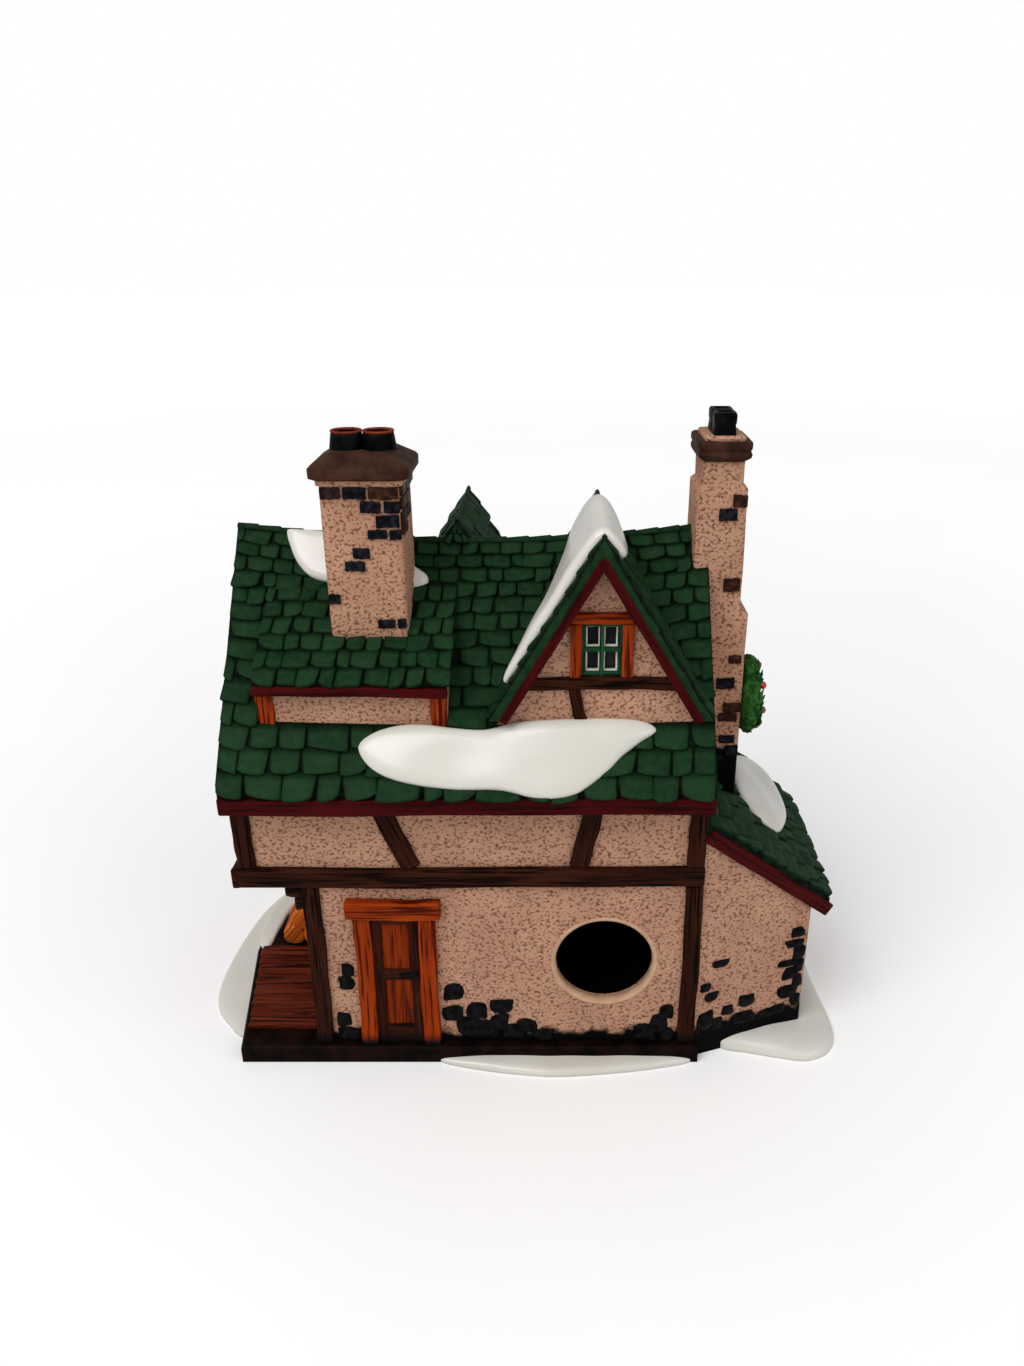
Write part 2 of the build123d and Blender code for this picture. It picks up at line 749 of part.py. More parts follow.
with BuildPart() as rear_snow_drift:
    drift_depth = rear_margin - plinth_margin
    drift = [
        (deck_left_x + x * (plinth_right_x - deck_left_x), plinth_rear_y - y * drift_depth)
        for x, y in drift_shares
    ]
    with BuildSketch():
        with BuildLine():
            Spline(*drift)
            Line(drift[-1], drift[0])
        make_face()
    extrude(amount=drift_height)
    fillet(
        rear_snow_drift.faces().sort_by(Axis.Z)[-1].edges().filter_by(GeomType.BSPLINE), drift_round
    )

# Ground floor walls
with BuildPart() as rear_wall:
    extrude(board(rear_face, left_x, plinth_height, house_right, storey_height), amount=-wall)
    lamp_hole_x = house_right - lamp_hole_inset
    with Locations(rear_face.location * Pos(lamp_hole_x, lamp_hole_height)):
        Hole(lamp_hole_radius)
    rim = rear_wall.edges().filter_by(GeomType.CIRCLE).sort_by(Axis.Y)[0]
    chamfer(rim, lamp_hole_bevel)

with BuildPart() as front_wall:
    extrude(board(front_face, -house_right, plinth_height, -left_x, storey_height), amount=-wall)
    for hole in openings(front_ground_windows):
        extrude(hole, amount=-wall, mode=Mode.SUBTRACT)

with BuildPart() as left_wall:
    extrude(board(left_face, wall - front_y, plinth_height, -wall - rear_y, storey_height), amount=-wall)
    for hole in openings(left_windows):
        extrude(hole, amount=-wall, mode=Mode.SUBTRACT)

with BuildPart() as right_wall:
    extrude(board(right_face, rear_y + wall, plinth_height, front_y - wall, storey_height), amount=-wall)

# Upper floor walls, cut to the underside of the roof
with BuildPart() as rear_upper_wall:
    extrude(board(rear_face, jetty_x, storey_height, house_right, ridge_height), amount=-wall)
    add(under_roof.part, mode=Mode.INTERSECT)

with BuildPart() as front_upper_wall:
    extrude(board(front_face, -house_right, storey_height, -jetty_x, ridge_height), amount=-wall)
    for hole in openings(front_upper_windows):
        extrude(hole, amount=-wall, mode=Mode.SUBTRACT)
    add(under_roof.part, mode=Mode.INTERSECT)

with BuildPart() as left_gable_wall:
    extrude(board(jetty_face, wall - front_y, storey_height, -wall - rear_y, ridge_height), amount=-wall)
    for hole in openings(jetty_windows):
        extrude(hole, amount=-wall, mode=Mode.SUBTRACT)
    add(under_roof.part, mode=Mode.INTERSECT)

with BuildPart() as right_gable_wall:
    extrude(board(right_face, rear_y + wall, storey_height, front_y - wall, ridge_height), amount=-wall)
    add(under_roof.part, mode=Mode.INTERSECT)

with BuildPart() as jetty_floor:
    extrude(
        board(Plane.XY.offset(storey_height), jetty_x + wall, rear_y + wall, left_x + wall, front_y - wall),
        amount=wall,
    )

# Main roof slopes, each with a well that lets light up into its gable
with BuildPart() as rear_roof_slope:
    loft(sagging(rear_profile))
    well_y = cross_gable_wall_y + wall + joint_gap
    well = board(
        Plane.XY.offset(storey_height), cross_gable_x - light_well / 2, well_y,
        cross_gable_x + light_well / 2, well_y + light_well / 2,
    )
    extrude(well, amount=cross_gable_height, mode=Mode.SUBTRACT)

with BuildPart() as front_roof_slope:
    loft(sagging(front_profile))
    well_y = front_gable_wall_y - wall - joint_gap
    well = board(
        Plane.XY.offset(storey_height), front_gable_x - light_well / 2, well_y - light_well / 2,
        front_gable_x + light_well / 2, well_y,
    )
    extrude(well, amount=cross_gable_height, mode=Mode.SUBTRACT)

with BuildPart() as fascias:
    fascia_bottom = eave_height - roof_drop - fascia_drop
    for eave_y, outward in ((rear_eave_y, fascia_thickness), (front_eave_y, -fascia_thickness)):
        extrude(
            board(
                Plane.XZ.offset(-eave_y), roof_left, fascia_bottom, roof_right, fascia_bottom + fascia_height
            ),
            amount=outward,
        )
    shed_fascia_top = shed_eave_height - fascia_thickness * shed_rise - joint_gap
    extrude(
        board(
            Plane.XZ.offset(-shed_eave_y), shed_left, shed_fascia_top - shed_fascia_height,
            shed_right, shed_fascia_top,
        ),
        amount=fascia_thickness,
    )

# Shed dormer
shed_under = shed_eave_height - shed_drop + shed_rise * (shed_wall_y - shed_eave_y)
with BuildPart() as shed_dormer_walls:
    cheek_left = shed_left + joint_gap
    cheek_right = shed_right - joint_gap
    extrude(
        outline(
            Plane.YZ.offset(cheek_left), (shed_wall_y, storey_height), (shed_wall_y, shed_under),
            (shed_far_y, shed_under + shed_rise * (shed_far_y - shed_wall_y)), (shed_far_y, storey_height),
        ),
        amount=cheek_right - cheek_left,
    )
    extrude(
        board(
            Plane.XY.offset(storey_height), cheek_left + wall, shed_wall_y + wall,
            cheek_right - wall, shed_far_y + overrun,
        ),
        amount=cross_gable_height, mode=Mode.SUBTRACT,
    )
    add(roof_block.part, mode=Mode.SUBTRACT)

with BuildPart() as shed_dormer_roof:
    extrude(
        outline(
            Plane.YZ.offset(shed_left), (shed_eave_y, shed_eave_height), (shed_far_y, shed_top),
            (shed_far_y, shed_top - shed_drop), (shed_eave_y, shed_eave_height - shed_drop),
        ),
        amount=shed_length,
    )
    add(roof_block.part, mode=Mode.SUBTRACT)

with BuildPart() as shed_dormer_posts:
    for left in (cheek_left, cheek_right - shed_post_width):
        extrude(
            board(shed_face, left, storey_height, left + shed_post_width, shed_eave_height - shed_drop),
            amount=shed_post_proud,
        )
    add(roof_block.part, mode=Mode.SUBTRACT)

# Gables
cross_gable_roof = gable_roof(
    cross_gable_x, cross_gable_height, cross_gable_tip, cross_gable_verge_y, cross_gable_end_y
)
front_gable_roof = gable_roof(
    front_gable_x, front_gable_height, front_gable_tip, ridge_y, front_gable_verge_y
)

with BuildPart() as cross_gable_wall:
    extrude(
        gable_triangle(cross_gable_face, cross_gable_x, cross_gable_height, cross_gable_tip - wall),
        amount=-wall,
    )
    end_face = Plane(origin=(0, cross_gable_end_y, 0), x_dir=(-1, 0, 0), z_dir=(0, 1, 0))
    extrude(gable_triangle(end_face, -cross_gable_x, cross_gable_height, cross_gable_tip), amount=-wall)
    add(roof_block.part, mode=Mode.SUBTRACT)
    for hole in openings([cross_window]):
        extrude(hole, amount=-wall, mode=Mode.SUBTRACT)

with BuildPart() as front_gable_wall:
    extrude(
        gable_triangle(front_gable_face, -front_gable_x, front_gable_height, front_gable_tip - 2 * wall),
        amount=-wall,
    )
    add(roof_block.part, mode=Mode.SUBTRACT)
    for hole in openings([front_gable_window]):
        extrude(hole, amount=-wall, mode=Mode.SUBTRACT)

# Lean-to roof, whose rear verge follows the canted wall
with BuildPart() as lean_to_roof:
    extrude(
        outline(
            Plane.XZ.offset(-rear_eave_y), (house_right, lean_to_roof_height),
            (house_right, lean_to_roof_height - lean_to_drop),
            (lean_to_eave_x, lean_to_eave_height - lean_to_drop), (lean_to_eave_x, lean_to_eave_height),
        ),
        amount=rear_eave_y - front_eave_y,
    )
    cant_rise = lean_to_cant / lean_to_length
    verge_rear_y = rear_y - lean_to_verge_overhang
    verge_front_y = lean_to_front_y + lean_to_verge_overhang
    extrude(
        outline(
            Plane.XY, (house_right, verge_rear_y),
            (lean_to_eave_x, verge_rear_y + cant_rise * (lean_to_eave_x - house_right)),
            (lean_to_eave_x, verge_front_y), (house_right, verge_front_y),
        ),
        amount=lean_to_roof_height, mode=Mode.INTERSECT,
    )

# Boards along the gables and the lean-to
with BuildPart() as bargeboards:
    cross_verge = Plane(origin=(0, cross_gable_verge_y + joint_gap, 0), x_dir=(1, 0, 0), z_dir=(0, -1, 0))
    front_verge = Plane(origin=(0, front_gable_verge_y - joint_gap, 0), x_dir=(-1, 0, 0), z_dir=(0, 1, 0))
    extrude(
        bargeboard_outline(cross_verge, cross_gable_x, cross_gable_height, cross_gable_tip),
        amount=-bargeboard_thickness,
    )
    extrude(
        bargeboard_outline(front_verge, -front_gable_x, front_gable_height, front_gable_tip),
        amount=-bargeboard_thickness,
    )
    lean_board_end = lean_to_eave_x - house_right
    lean_run = math.hypot(lean_board_end, lean_board_end * cant_rise)
    lean_clear = lean_to_verge_overhang * math.sin(lean_to_turn) * lean_to_rise
    lean_foot = lean_to_roof_height - lean_to_drop - lean_clear
    lean_fall = lean_to_rise * lean_board_end
    extrude(
        outline(
            lean_to_cant_face, (0, lean_foot), (lean_run, lean_foot - lean_fall),
            (lean_run, lean_foot - lean_fall - lean_to_board_height), (0, lean_foot - lean_to_board_height),
        ),
        amount=lean_to_verge_overhang,
    )

# Relief timbers on the walls
with BuildPart() as bressummer_beam:
    beam_top = storey_height + beam_height
    extrude(board(rear_face, jetty_x, storey_height, house_right, beam_top), amount=beam_proud)
    extrude(board(front_face, -house_right, storey_height, -jetty_x, beam_top), amount=beam_proud)
    extrude(
        board(jetty_face, -front_y - beam_proud, storey_height, beam_proud - rear_y, beam_top),
        amount=beam_proud,
    )

fascia_clear = fascia_bottom + fascia_height / 2
with BuildPart() as wall_posts:
    ground_posts = ((left_x, left_x + post_width), (house_right - post_width, house_right))
    upper_posts = ((jetty_x, jetty_x + post_width), (house_right - post_width, house_right))
    for left, right in ground_posts:
        extrude(board(rear_face, left, plinth_height, right, storey_height), amount=post_proud)
        extrude(board(front_face, -right, plinth_height, -left, storey_height), amount=post_proud)
    for left, right in upper_posts:
        extrude(board(rear_face, left, beam_top, right, fascia_clear), amount=post_proud)
        extrude(board(front_face, -right, beam_top, -left, fascia_clear), amount=post_proud)

with BuildPart() as wall_braces:
    upper_length = house_right - jetty_x
    for inset_share, lean_share in brace_shares:
        top_left = jetty_x + inset_share * upper_length
        lean = lean_share * upper_length
        brace = (
            (top_left + lean, beam_top), (top_left + lean + brace_width, beam_top),
            (top_left + brace_width, fascia_clear), (top_left, fascia_clear),
        )
        extrude(outline(rear_face, *brace), amount=post_proud)
        extrude(outline(front_face, *[(-x, z) for x, z in brace]), amount=post_proud)

with BuildPart() as jetty_brackets:
    for y in (rear_y, front_y - wall):
        extrude(
            outline(
                Plane.XZ.offset(-y), (left_x, storey_height), (left_x - bracket_reach, storey_height),
                (left_x - bracket_reach, storey_height - bracket_drop / 2),
                (left_x - bracket_reach / 2, storey_height - bracket_drop / 2),
                (left_x - bracket_reach / 2, storey_height - bracket_drop),
                (left_x, storey_height - bracket_drop),
            ),
            amount=-wall,
        )

with BuildPart() as cross_gable_timbers:
    collar_top = collar_height + collar_depth
    low_half = gable_half(cross_gable_height - gable_drop, collar_height)
    high_half = gable_half(cross_gable_height - gable_drop, collar_top)
    extrude(
        outline(
            cross_gable_face,
            (cross_gable_x - low_half, collar_height), (cross_gable_x + low_half, collar_height),
            (cross_gable_x + high_half, collar_top), (cross_gable_x - high_half, collar_top),
        ),
        amount=timber_proud,
    )
    strut_left = cross_gable_x - strut_offset
    extrude(
        outline(
            cross_gable_face, (strut_left, collar_height), (strut_left + strut_width, collar_height),
            (strut_left + strut_width + strut_lean, cross_gable_tip - wall),
            (strut_left + strut_lean, cross_gable_tip - wall),
        ),
        amount=timber_proud,
    )
    add(roof_block.part, mode=Mode.SUBTRACT)

# Windows
with BuildPart() as window_casings:
    for plane, middle, sill, with_sill in windows:
        for piece in casing(plane, middle, sill, with_sill):
            extrude(piece, amount=casing_proud)

with BuildPart() as window_sashes:
    pane_width = (sash_width - 3 * sash_bar) / 2
    pane_height = (sash_height - 3 * sash_bar) / 2
    for plane, middle, sill, _ in windows:
        glazing = plane.offset(-sash_inset)
        extrude(opening(glazing, middle, sill), amount=-sash_thickness)
        panes = [
            board(glazing, left, foot, left + pane_width, foot + pane_height)
            for left in (middle - sash_bar / 2 - pane_width, middle + sash_bar / 2)
            for foot in (sill + sash_bar, sill + 2 * sash_bar + pane_height)
        ]
        for pane in panes:
            extrude(pane, amount=-sash_thickness, mode=Mode.SUBTRACT)


# Doors
def door_frame(plane, middle):
    """Two jambs and a wider, prouder lintel."""
    half = door_outer_width / 2
    with BuildPart() as frame:
        for left in (middle - half, middle + half - door_jamb_width):
            jamb = board(plane, left, plinth_height, left + door_jamb_width, door_top)
            extrude(jamb, amount=door_jamb_proud)
        extrude(
            board(
                plane, middle - door_lintel_width / 2, door_top,
                middle + door_lintel_width / 2, door_top + door_lintel_height,
            ),
            amount=door_lintel_proud,
        )
    return frame


def door_leaf(plane, middle):
    """A leaf with two sunk panels, above and below its lock rail."""
    half = door_outer_width / 2 - door_jamb_width
    rail = (plinth_height + door_top) / 2
    with BuildPart() as leaf:
        face = board(plane, middle - half, plinth_height, middle + half, door_top)
        extrude(face, amount=door_leaf_thickness)
        for foot, head in (
            (plinth_height + door_stile, rail - door_lock_rail / 2),
            (rail + door_lock_rail / 2, door_top - door_stile),
        ):
            extrude(
                board(
                    plane.offset(door_leaf_thickness), middle - half + door_stile, foot,
                    middle + half - door_stile, head,
                ),
                amount=-door_panel_depth, mode=Mode.SUBTRACT,
            )
    return leaf


front_door_middle = -(left_x + front_door_share * ground_length)
rear_door_frame = door_frame(rear_face, door_middle)
rear_door = door_leaf(rear_face, door_middle)
front_door_frame = door_frame(front_face, front_door_middle)
front_door = door_leaf(front_face, front_door_middle)

with BuildPart() as door_latches:
    rail = (plinth_height + door_top) / 2
    for plane, middle in ((rear_face, door_middle), (front_face, front_door_middle)):
        right = middle + door_outer_width / 2 - door_jamb_width
        extrude(
            board(
                plane.offset(door_leaf_thickness), right - latch_length, rail - latch_height / 2,
                right, rail + latch_height / 2,
            ),
            amount=latch_proud,
        )

# Left chimney, seated on the shed dormer and the main roof
left_chimney_far_y = left_chimney_y + left_chimney_depth
left_chimney_right = left_chimney_x + left_chimney_width
left_chimney_middle = (
    (left_chimney_x + left_chimney_right) / 2, (left_chimney_y + left_chimney_far_y) / 2
)
with BuildPart() as left_chimney_stack:
    extrude(
        board(
            Plane.XY.offset(storey_height), left_chimney_x, left_chimney_y,
            left_chimney_right, left_chimney_far_y,
        ),
        amount=left_chimney_height - storey_height,
    )
    extrude(
        board(
            Plane.XY.offset(left_chimney_height), left_chimney_x - left_chimney_band_proud,
            left_chimney_y - left_chimney_band_proud, left_chimney_right + left_chimney_band_proud,
            left_chimney_far_y + left_chimney_band_proud,
        ),
        amount=-left_chimney_band,
    )
    add(shed_block.part, mode=Mode.SUBTRACT)
    add(roof_block.part, mode=Mode.SUBTRACT)

with BuildPart() as left_chimney_cap:
    rim_top = left_chimney_height + left_cap_rim
    cap_width = left_chimney_width + 2 * left_cap_overhang
    cap_depth = left_chimney_depth + 2 * left_cap_overhang
    with BuildSketch(Plane.XY.offset(left_chimney_height)):
        with Locations(left_chimney_middle):
            Rectangle(cap_width, cap_depth)
    extrude(amount=left_cap_rim)
    with BuildSketch(Plane.XY.offset(rim_top)):
        with Locations(left_chimney_middle):
            Rectangle(cap_width, cap_depth)
    with BuildSketch(Plane.XY.offset(rim_top + left_cap_rise)):
        with Locations(left_chimney_middle):
            Rectangle(cap_width - 2 * left_cap_inset, cap_depth - 2 * left_cap_inset)
    loft()

with BuildPart() as left_chimney_pots:
    pot_foot = rim_top + left_cap_rise
    for side in (-1, 1):
        pot_x = left_chimney_middle[0] + side * (pot_radius + joint_gap / 2)
        pot_plane = Plane(origin=(pot_x, left_chimney_middle[1], pot_foot), x_dir=(1, 0, 0), z_dir=(0, -1, 0))
        with BuildSketch(pot_plane):
            with BuildLine():
                Polyline(
                    (0, 0), (pot_radius, 0), (pot_radius - pot_waist, pot_height - pot_rim_height),
                    (pot_radius, pot_height - pot_rim_height), (pot_radius, pot_height),
                    (pot_radius - pot_wall, pot_height), (pot_radius - pot_wall, pot_height / 2),
                    (0, pot_height / 2), close=True,
                )
            make_face()
        revolve(axis=Axis((pot_x, left_chimney_middle[1], 0), (0, 0, 1)))

# Right chimney, against the gable end, through the verge and down to the lean-to roof
shaft_right = right_shaft_x + right_shaft_width
neck_left = right_shaft_x + (right_shaft_width - right_neck_width) / 2
neck_right = neck_left + right_neck_width
with BuildPart() as right_chimney_stack:
    extrude(
        outline(
            right_chimney_face, (house_right, 0), (right_chimney_face_x, 0),
            (right_chimney_face_x, right_shoulder_height),
            (shaft_right, right_shoulder_height + right_shoulder_rise),
            (shaft_right, right_neck_height - right_shoulder_rise), (neck_right, right_neck_height),
            (neck_right, right_chimney_height), (neck_left, right_chimney_height),
            (neck_left, right_neck_height), (right_shaft_x, right_neck_height - right_shoulder_rise),
            (right_shaft_x, storey_height + beam_height), (house_right, storey_height + beam_height),
        ),
        amount=-right_chimney_depth,
    )
    add(attic.part, mode=Mode.SUBTRACT)
    add(rear_roof_slope.part, mode=Mode.SUBTRACT)
    add(front_roof_slope.part, mode=Mode.SUBTRACT)
    add(lean_to_block.part, mode=Mode.SUBTRACT)

right_chimney_middle = ((neck_left + neck_right) / 2, right_chimney_y + right_chimney_depth / 2)
right_cap_width = right_neck_width + 2 * right_cap_overhang
right_cap_depth = right_chimney_depth + 2 * right_cap_overhang
with BuildPart() as right_chimney_cap:
    moulding_top = right_chimney_height + right_cap_moulding
    with BuildSketch(Plane.XY.offset(right_chimney_height)):
        with Locations(right_chimney_middle):
            Rectangle(right_neck_width, right_chimney_depth)
    with BuildSketch(Plane.XY.offset(moulding_top)):
        with Locations(right_chimney_middle):
            Rectangle(right_cap_width, right_cap_depth)
    loft()
    with BuildSketch(Plane.XY.offset(moulding_top)):
        with Locations(right_chimney_middle):
            Rectangle(right_cap_width, right_cap_depth)
    extrude(amount=right_cap_height - right_cap_moulding)

with BuildPart() as right_chimney_pots:
    slab_foot = right_chimney_height + right_cap_height
    pot_base = slab_foot + right_slab_height
    pot_centres = [
        (right_chimney_middle[0], right_chimney_middle[1] + side * (right_pot_width + joint_gap) / 2)
        for side in (-1, 1)
    ]
    with BuildSketch(Plane.XY.offset(slab_foot)):
        with Locations(right_chimney_middle):
            Rectangle(right_neck_width, right_chimney_depth)
    extrude(amount=right_slab_height)
    with BuildSketch(Plane.XY.offset(pot_base)):
        with Locations(*pot_centres):
            Rectangle(right_pot_width, right_pot_width)
    extrude(amount=right_pot_height)
    with BuildSketch(Plane.XY.offset(pot_base + right_pot_height)):
        with Locations(*pot_centres):
            Rectangle(right_pot_width - 2 * right_pot_wall, right_pot_width - 2 * right_pot_wall)
    extrude(amount=-right_pot_depth, mode=Mode.SUBTRACT)

# Bricks bared on both chimneys
with BuildPart() as chimney_bricks:
    left_foot = shed_eave_height + shed_rise * (left_chimney_y - shed_eave_y) + shingle_thickness
    left_head = left_chimney_height - left_chimney_band
    for left, right, foot, head in left_brick_shares:
        extrude(
            board(
                left_chimney_face,
                left_chimney_x + left * left_chimney_width, left_foot + foot * (left_head - left_foot),
                left_chimney_x + right * left_chimney_width, left_foot + head * (left_head - left_foot),
            ),
            amount=brick_proud,
        )
    right_foot = lean_to_roof_height + shingle_thickness
    for left, right, foot, head in right_brick_shares:
        low = right_foot + foot * (right_neck_height - right_foot)
        high = right_foot + head * (right_neck_height - right_foot)
        lower = high < right_shoulder_height
        start = house_right + verge_overhang if lower else right_shaft_x
        reach = (right_chimney_face_x if lower else shaft_right) - start
        brick = board(right_chimney_face, start + left * reach, low, start + right * reach, high)
        extrude(brick, amount=brick_proud)

# Stones bared at the foot of the walls
with BuildPart() as wall_stones:
    stone_rear = Plane(origin=(left_x, rear_y, plinth_height), x_dir=(1, 0, 0), z_dir=(0, -1, 0))
    for stone in stones(stone_rear, ground_length, storey_height - plinth_height, rear_stone_shares):
        extrude(stone, amount=stone_proud)
    for stone in stones(lean_to_cant_face, lean_to_wall_length, lean_to_eave_height, lean_stone_shares):
        extrude(stone, amount=stone_proud)

# Boardwalk along the left wall
with BuildPart() as boardwalk:
    plank_pitch = deck_length / deck_planks
    for i in range(deck_planks):
        start_y = rear_y + deck_rear_inset + i * plank_pitch
        flare = deck_flare * (start_y - plinth_rear_y) / (0 - plinth_rear_y)
        extrude(
            board(
                Plane.XY.offset(plinth_height), deck_left_x - flare + plinth_step, start_y,
                left_x - joint_gap, start_y + plank_pitch - joint_gap,
            ),
            amount=plank_thickness,
        )

# Split logs stacked under the jetty
with BuildPart() as firewood:
    for row in range(log_row):
        for i in range(log_row - row):
            log_x = left_x - log_radius - joint_gap - (2 * i + row) * (log_radius + joint_gap / 2)
            log_z = plinth_height + log_radius + row * log_radius * math.sqrt(3)
            with BuildSketch(Plane.XZ.offset(-log_row_y)):
                with Locations((log_x, log_z)):
                    Circle(log_radius)
            extrude(amount=-log_length)

# Wreath on the right chimney
wreath_centre_y = right_chimney_y + right_chimney_depth / 2
wreath_x = right_chimney_face_x + wreath_tube - joint_gap
with BuildPart() as wreath:
    with BuildSketch(Plane.XZ.offset(-wreath_centre_y)):
        with Locations((wreath_x, wreath_height + wreath_radius)):
            Circle(wreath_tube)
    revolve(axis=Axis((0, wreath_centre_y, wreath_height), (1, 0, 0)))
    add(right_chimney_stack.part, mode=Mode.SUBTRACT)

with BuildPart() as wreath_berries:
    for turn in berry_turns:
        berry_y = wreath_centre_y + wreath_radius * math.sin(math.radians(turn))
        berry_z = wreath_height + wreath_radius * math.cos(math.radians(turn))
        with Locations((wreath_x + wreath_tube + berry_radius, berry_y, berry_z)):
            Sphere(berry_radius)


# Shingles on every roof
def rear_spans(butt, head):
    y_low = rear_eave_y + butt * math.cos(roof_pitch)
    y_high = rear_eave_y + head * math.cos(roof_pitch)
    blocks = []
    if y_high > shed_wall_y - shed_post_proud and deck_height(shed_right, y_low) < shed_top_height(y_low):
        blocks.append((shed_left - joint_gap, shed_right + joint_gap))
    if y_high > left_chimney_y and y_low < left_chimney_far_y:
        blocks.append((left_chimney_x - joint_gap, left_chimney_right + joint_gap))
    if y_high > cross_gable_wall_y - timber_proud:
        blocks.append(gable_block(cross_gable_x, cross_gable_height, y_low))
    if y_high > right_chimney_y:
        blocks.append((right_shaft_x, roof_right))
    return free_spans(0, roof_length, [(a - roof_left, b - roof_left) for a, b in blocks])


def shed_top_height(y):
    return shed_eave_height + shed_rise * (y - shed_eave_y)


def front_spans(butt, head):
    y_low = front_eave_y - butt * math.cos(roof_pitch)
    y_high = front_eave_y - head * math.cos(roof_pitch)
    blocks = []
    if y_high < front_gable_wall_y:
        blocks.append(gable_block(front_gable_x, front_gable_height, y_low))
    if y_high < cross_gable_end_y:
        blocks.append(gable_block(cross_gable_x, cross_gable_height, y_low))
    if y_high < right_chimney_y + right_chimney_depth:
        blocks.append((right_shaft_x, roof_right))
    return free_spans(0, roof_length, [(roof_right - b, roof_right - a) for a, b in blocks])


shed_tilt = math.radians(shed_pitch)


def shed_deck(u, v):
    return Vector(
        shed_left + u, shed_eave_y + v * math.cos(shed_tilt), shed_eave_height + v * math.sin(shed_tilt)
    )


def shed_spans(butt, head):
    y_low = shed_eave_y + butt * math.cos(shed_tilt)
    y_high = shed_eave_y + head * math.cos(shed_tilt)
    blocks = []
    if y_high > left_chimney_y and y_low < left_chimney_far_y:
        blocks.append((left_chimney_x - joint_gap - shed_left, left_chimney_right + joint_gap - shed_left))
    return free_spans(0, shed_length, blocks)


lean_to_tilt = math.radians(lean_to_pitch)


def lean_to_deck(u, v):
    return Vector(
        lean_to_eave_x - v * math.cos(lean_to_tilt), u, lean_to_eave_height + v * math.sin(lean_to_tilt)
    )


def lean_to_spans(butt, head):
    x = lean_to_eave_x - butt * math.cos(lean_to_tilt)
    x_high = lean_to_eave_x - head * math.cos(lean_to_tilt)
    blocks = []
    if x_high < right_chimney_face_x:
        blocks.append((right_chimney_y, right_chimney_y + right_chimney_depth))
    return free_spans(verge_rear_y + cant_rise * (x - house_right), verge_front_y, blocks)


def shed_meets_deck():
    """How far up its slope the shed dormer's roof dies into the main roof."""
    rise_gap = shed_eave_height - deck_height(shed_left, shed_eave_y)
    return rise_gap / (roof_rise - shed_rise) / math.cos(shed_tilt)


course_reach = slope_length - ridge_tile_leg - joint_gap
shingle_groups = {
    "rear_shingles": lay_shingles(rear_deck, course_reach, rear_spans, shingle_overhang),
    "front_shingles": lay_shingles(front_deck, course_reach, front_spans, shingle_overhang),
    "shed_dormer_shingles": lay_shingles(shed_deck, shed_meets_deck(), shed_spans, shingle_overhang),
    "cross_gable_shingles": gable_shingles(
        cross_gable_x, cross_gable_height, cross_gable_tip, cross_gable_end_y, True
    ),
    "front_gable_shingles": gable_shingles(
        front_gable_x, front_gable_height, front_gable_tip, ridge_y, False
    ),
    "lean_to_shingles": lay_shingles(
        lean_to_deck, (lean_to_eave_x - house_right) / math.cos(lean_to_tilt), lean_to_spans, shingle_overhang
    ),
}

# Ridge tiles, short saddles that follow the sag
with BuildPart() as ridge_tiles:
    tile_rise = ridge_tile_thickness / math.cos(roof_pitch)
    leg_run = ridge_tile_leg * math.cos(roof_pitch)
    leg_fall = ridge_tile_leg * math.sin(roof_pitch)
    blocks = [
        gable_block(cross_gable_x, cross_gable_height, ridge_y - leg_run),
        gable_block(front_gable_x, front_gable_height, ridge_y - leg_run),
    ]
    for start, end in free_spans(roof_left, right_shaft_x, blocks):
        count = max(1, round((end - start) / ridge_tile_length))
        for i in range(count):
            tile_start = start + (end - start) * i / count
            tile_length = (end - start) / count - joint_gap
            feet = (deck_height(x, ridge_y - leg_run) for x in (tile_start, tile_start + tile_length))
            top = max(feet) + leg_fall
            extrude(
                outline(
                    Plane.YZ.offset(tile_start), (ridge_y - leg_run, top - leg_fall), (ridge_y, top),
                    (ridge_y + leg_run, top - leg_fall), (ridge_y + leg_run, top - leg_fall + tile_rise),
                    (ridge_y, top + tile_rise), (ridge_y - leg_run, top - leg_fall + tile_rise),
                ),
                amount=tile_length,
            )

# Snow lying on the roofs
eave_snow_points = [
    (roof_left + x * roof_length, rear_eave_y - shingle_overhang + y * (roof_span + shingle_overhang))
    for x, y in eave_snow_shares
]
eave_snow = snow_patch(
    eave_snow_points, roof_block.part, roof_pitch, ridge_height,
    (cross_gable_wall, cross_gable_roof, cross_gable_timbers, bargeboards, shed_dormer_posts),
)
cross_reach = gable_half(cross_gable_height, cross_gable_tip)
cross_length = cross_gable_end_y - cross_gable_verge_y
gable_snow_points = [
    (cross_gable_x + x * cross_reach, cross_gable_verge_y + y * cross_length) for x, y in gable_snow_shares
]
gable_snow_crest = cross_gable_height + shingle_thickness + roof_snow_thickness
gable_snow = snow_patch(
    gable_snow_points, cross_gable_block.part, math.radians(gable_pitch), gable_snow_crest
)
chimney_snow_points = [
    (roof_left + x * roof_length, rear_eave_y + y * roof_span) for x, y in chimney_snow_shares
]
chimney_snow = snow_patch(
    chimney_snow_points, roof_block.part, roof_pitch, ridge_height, (left_chimney_stack,)
)
lean_to_run = lean_to_eave_x - house_right
lean_to_snow_points = [
    (lean_to_eave_x - x * lean_to_run, rear_y + y * house_depth) for x, y in lean_to_snow_shares
]
lean_to_snow = snow_patch(lean_to_snow_points, lean_to_block.part, lean_to_tilt, lean_to_roof_height)

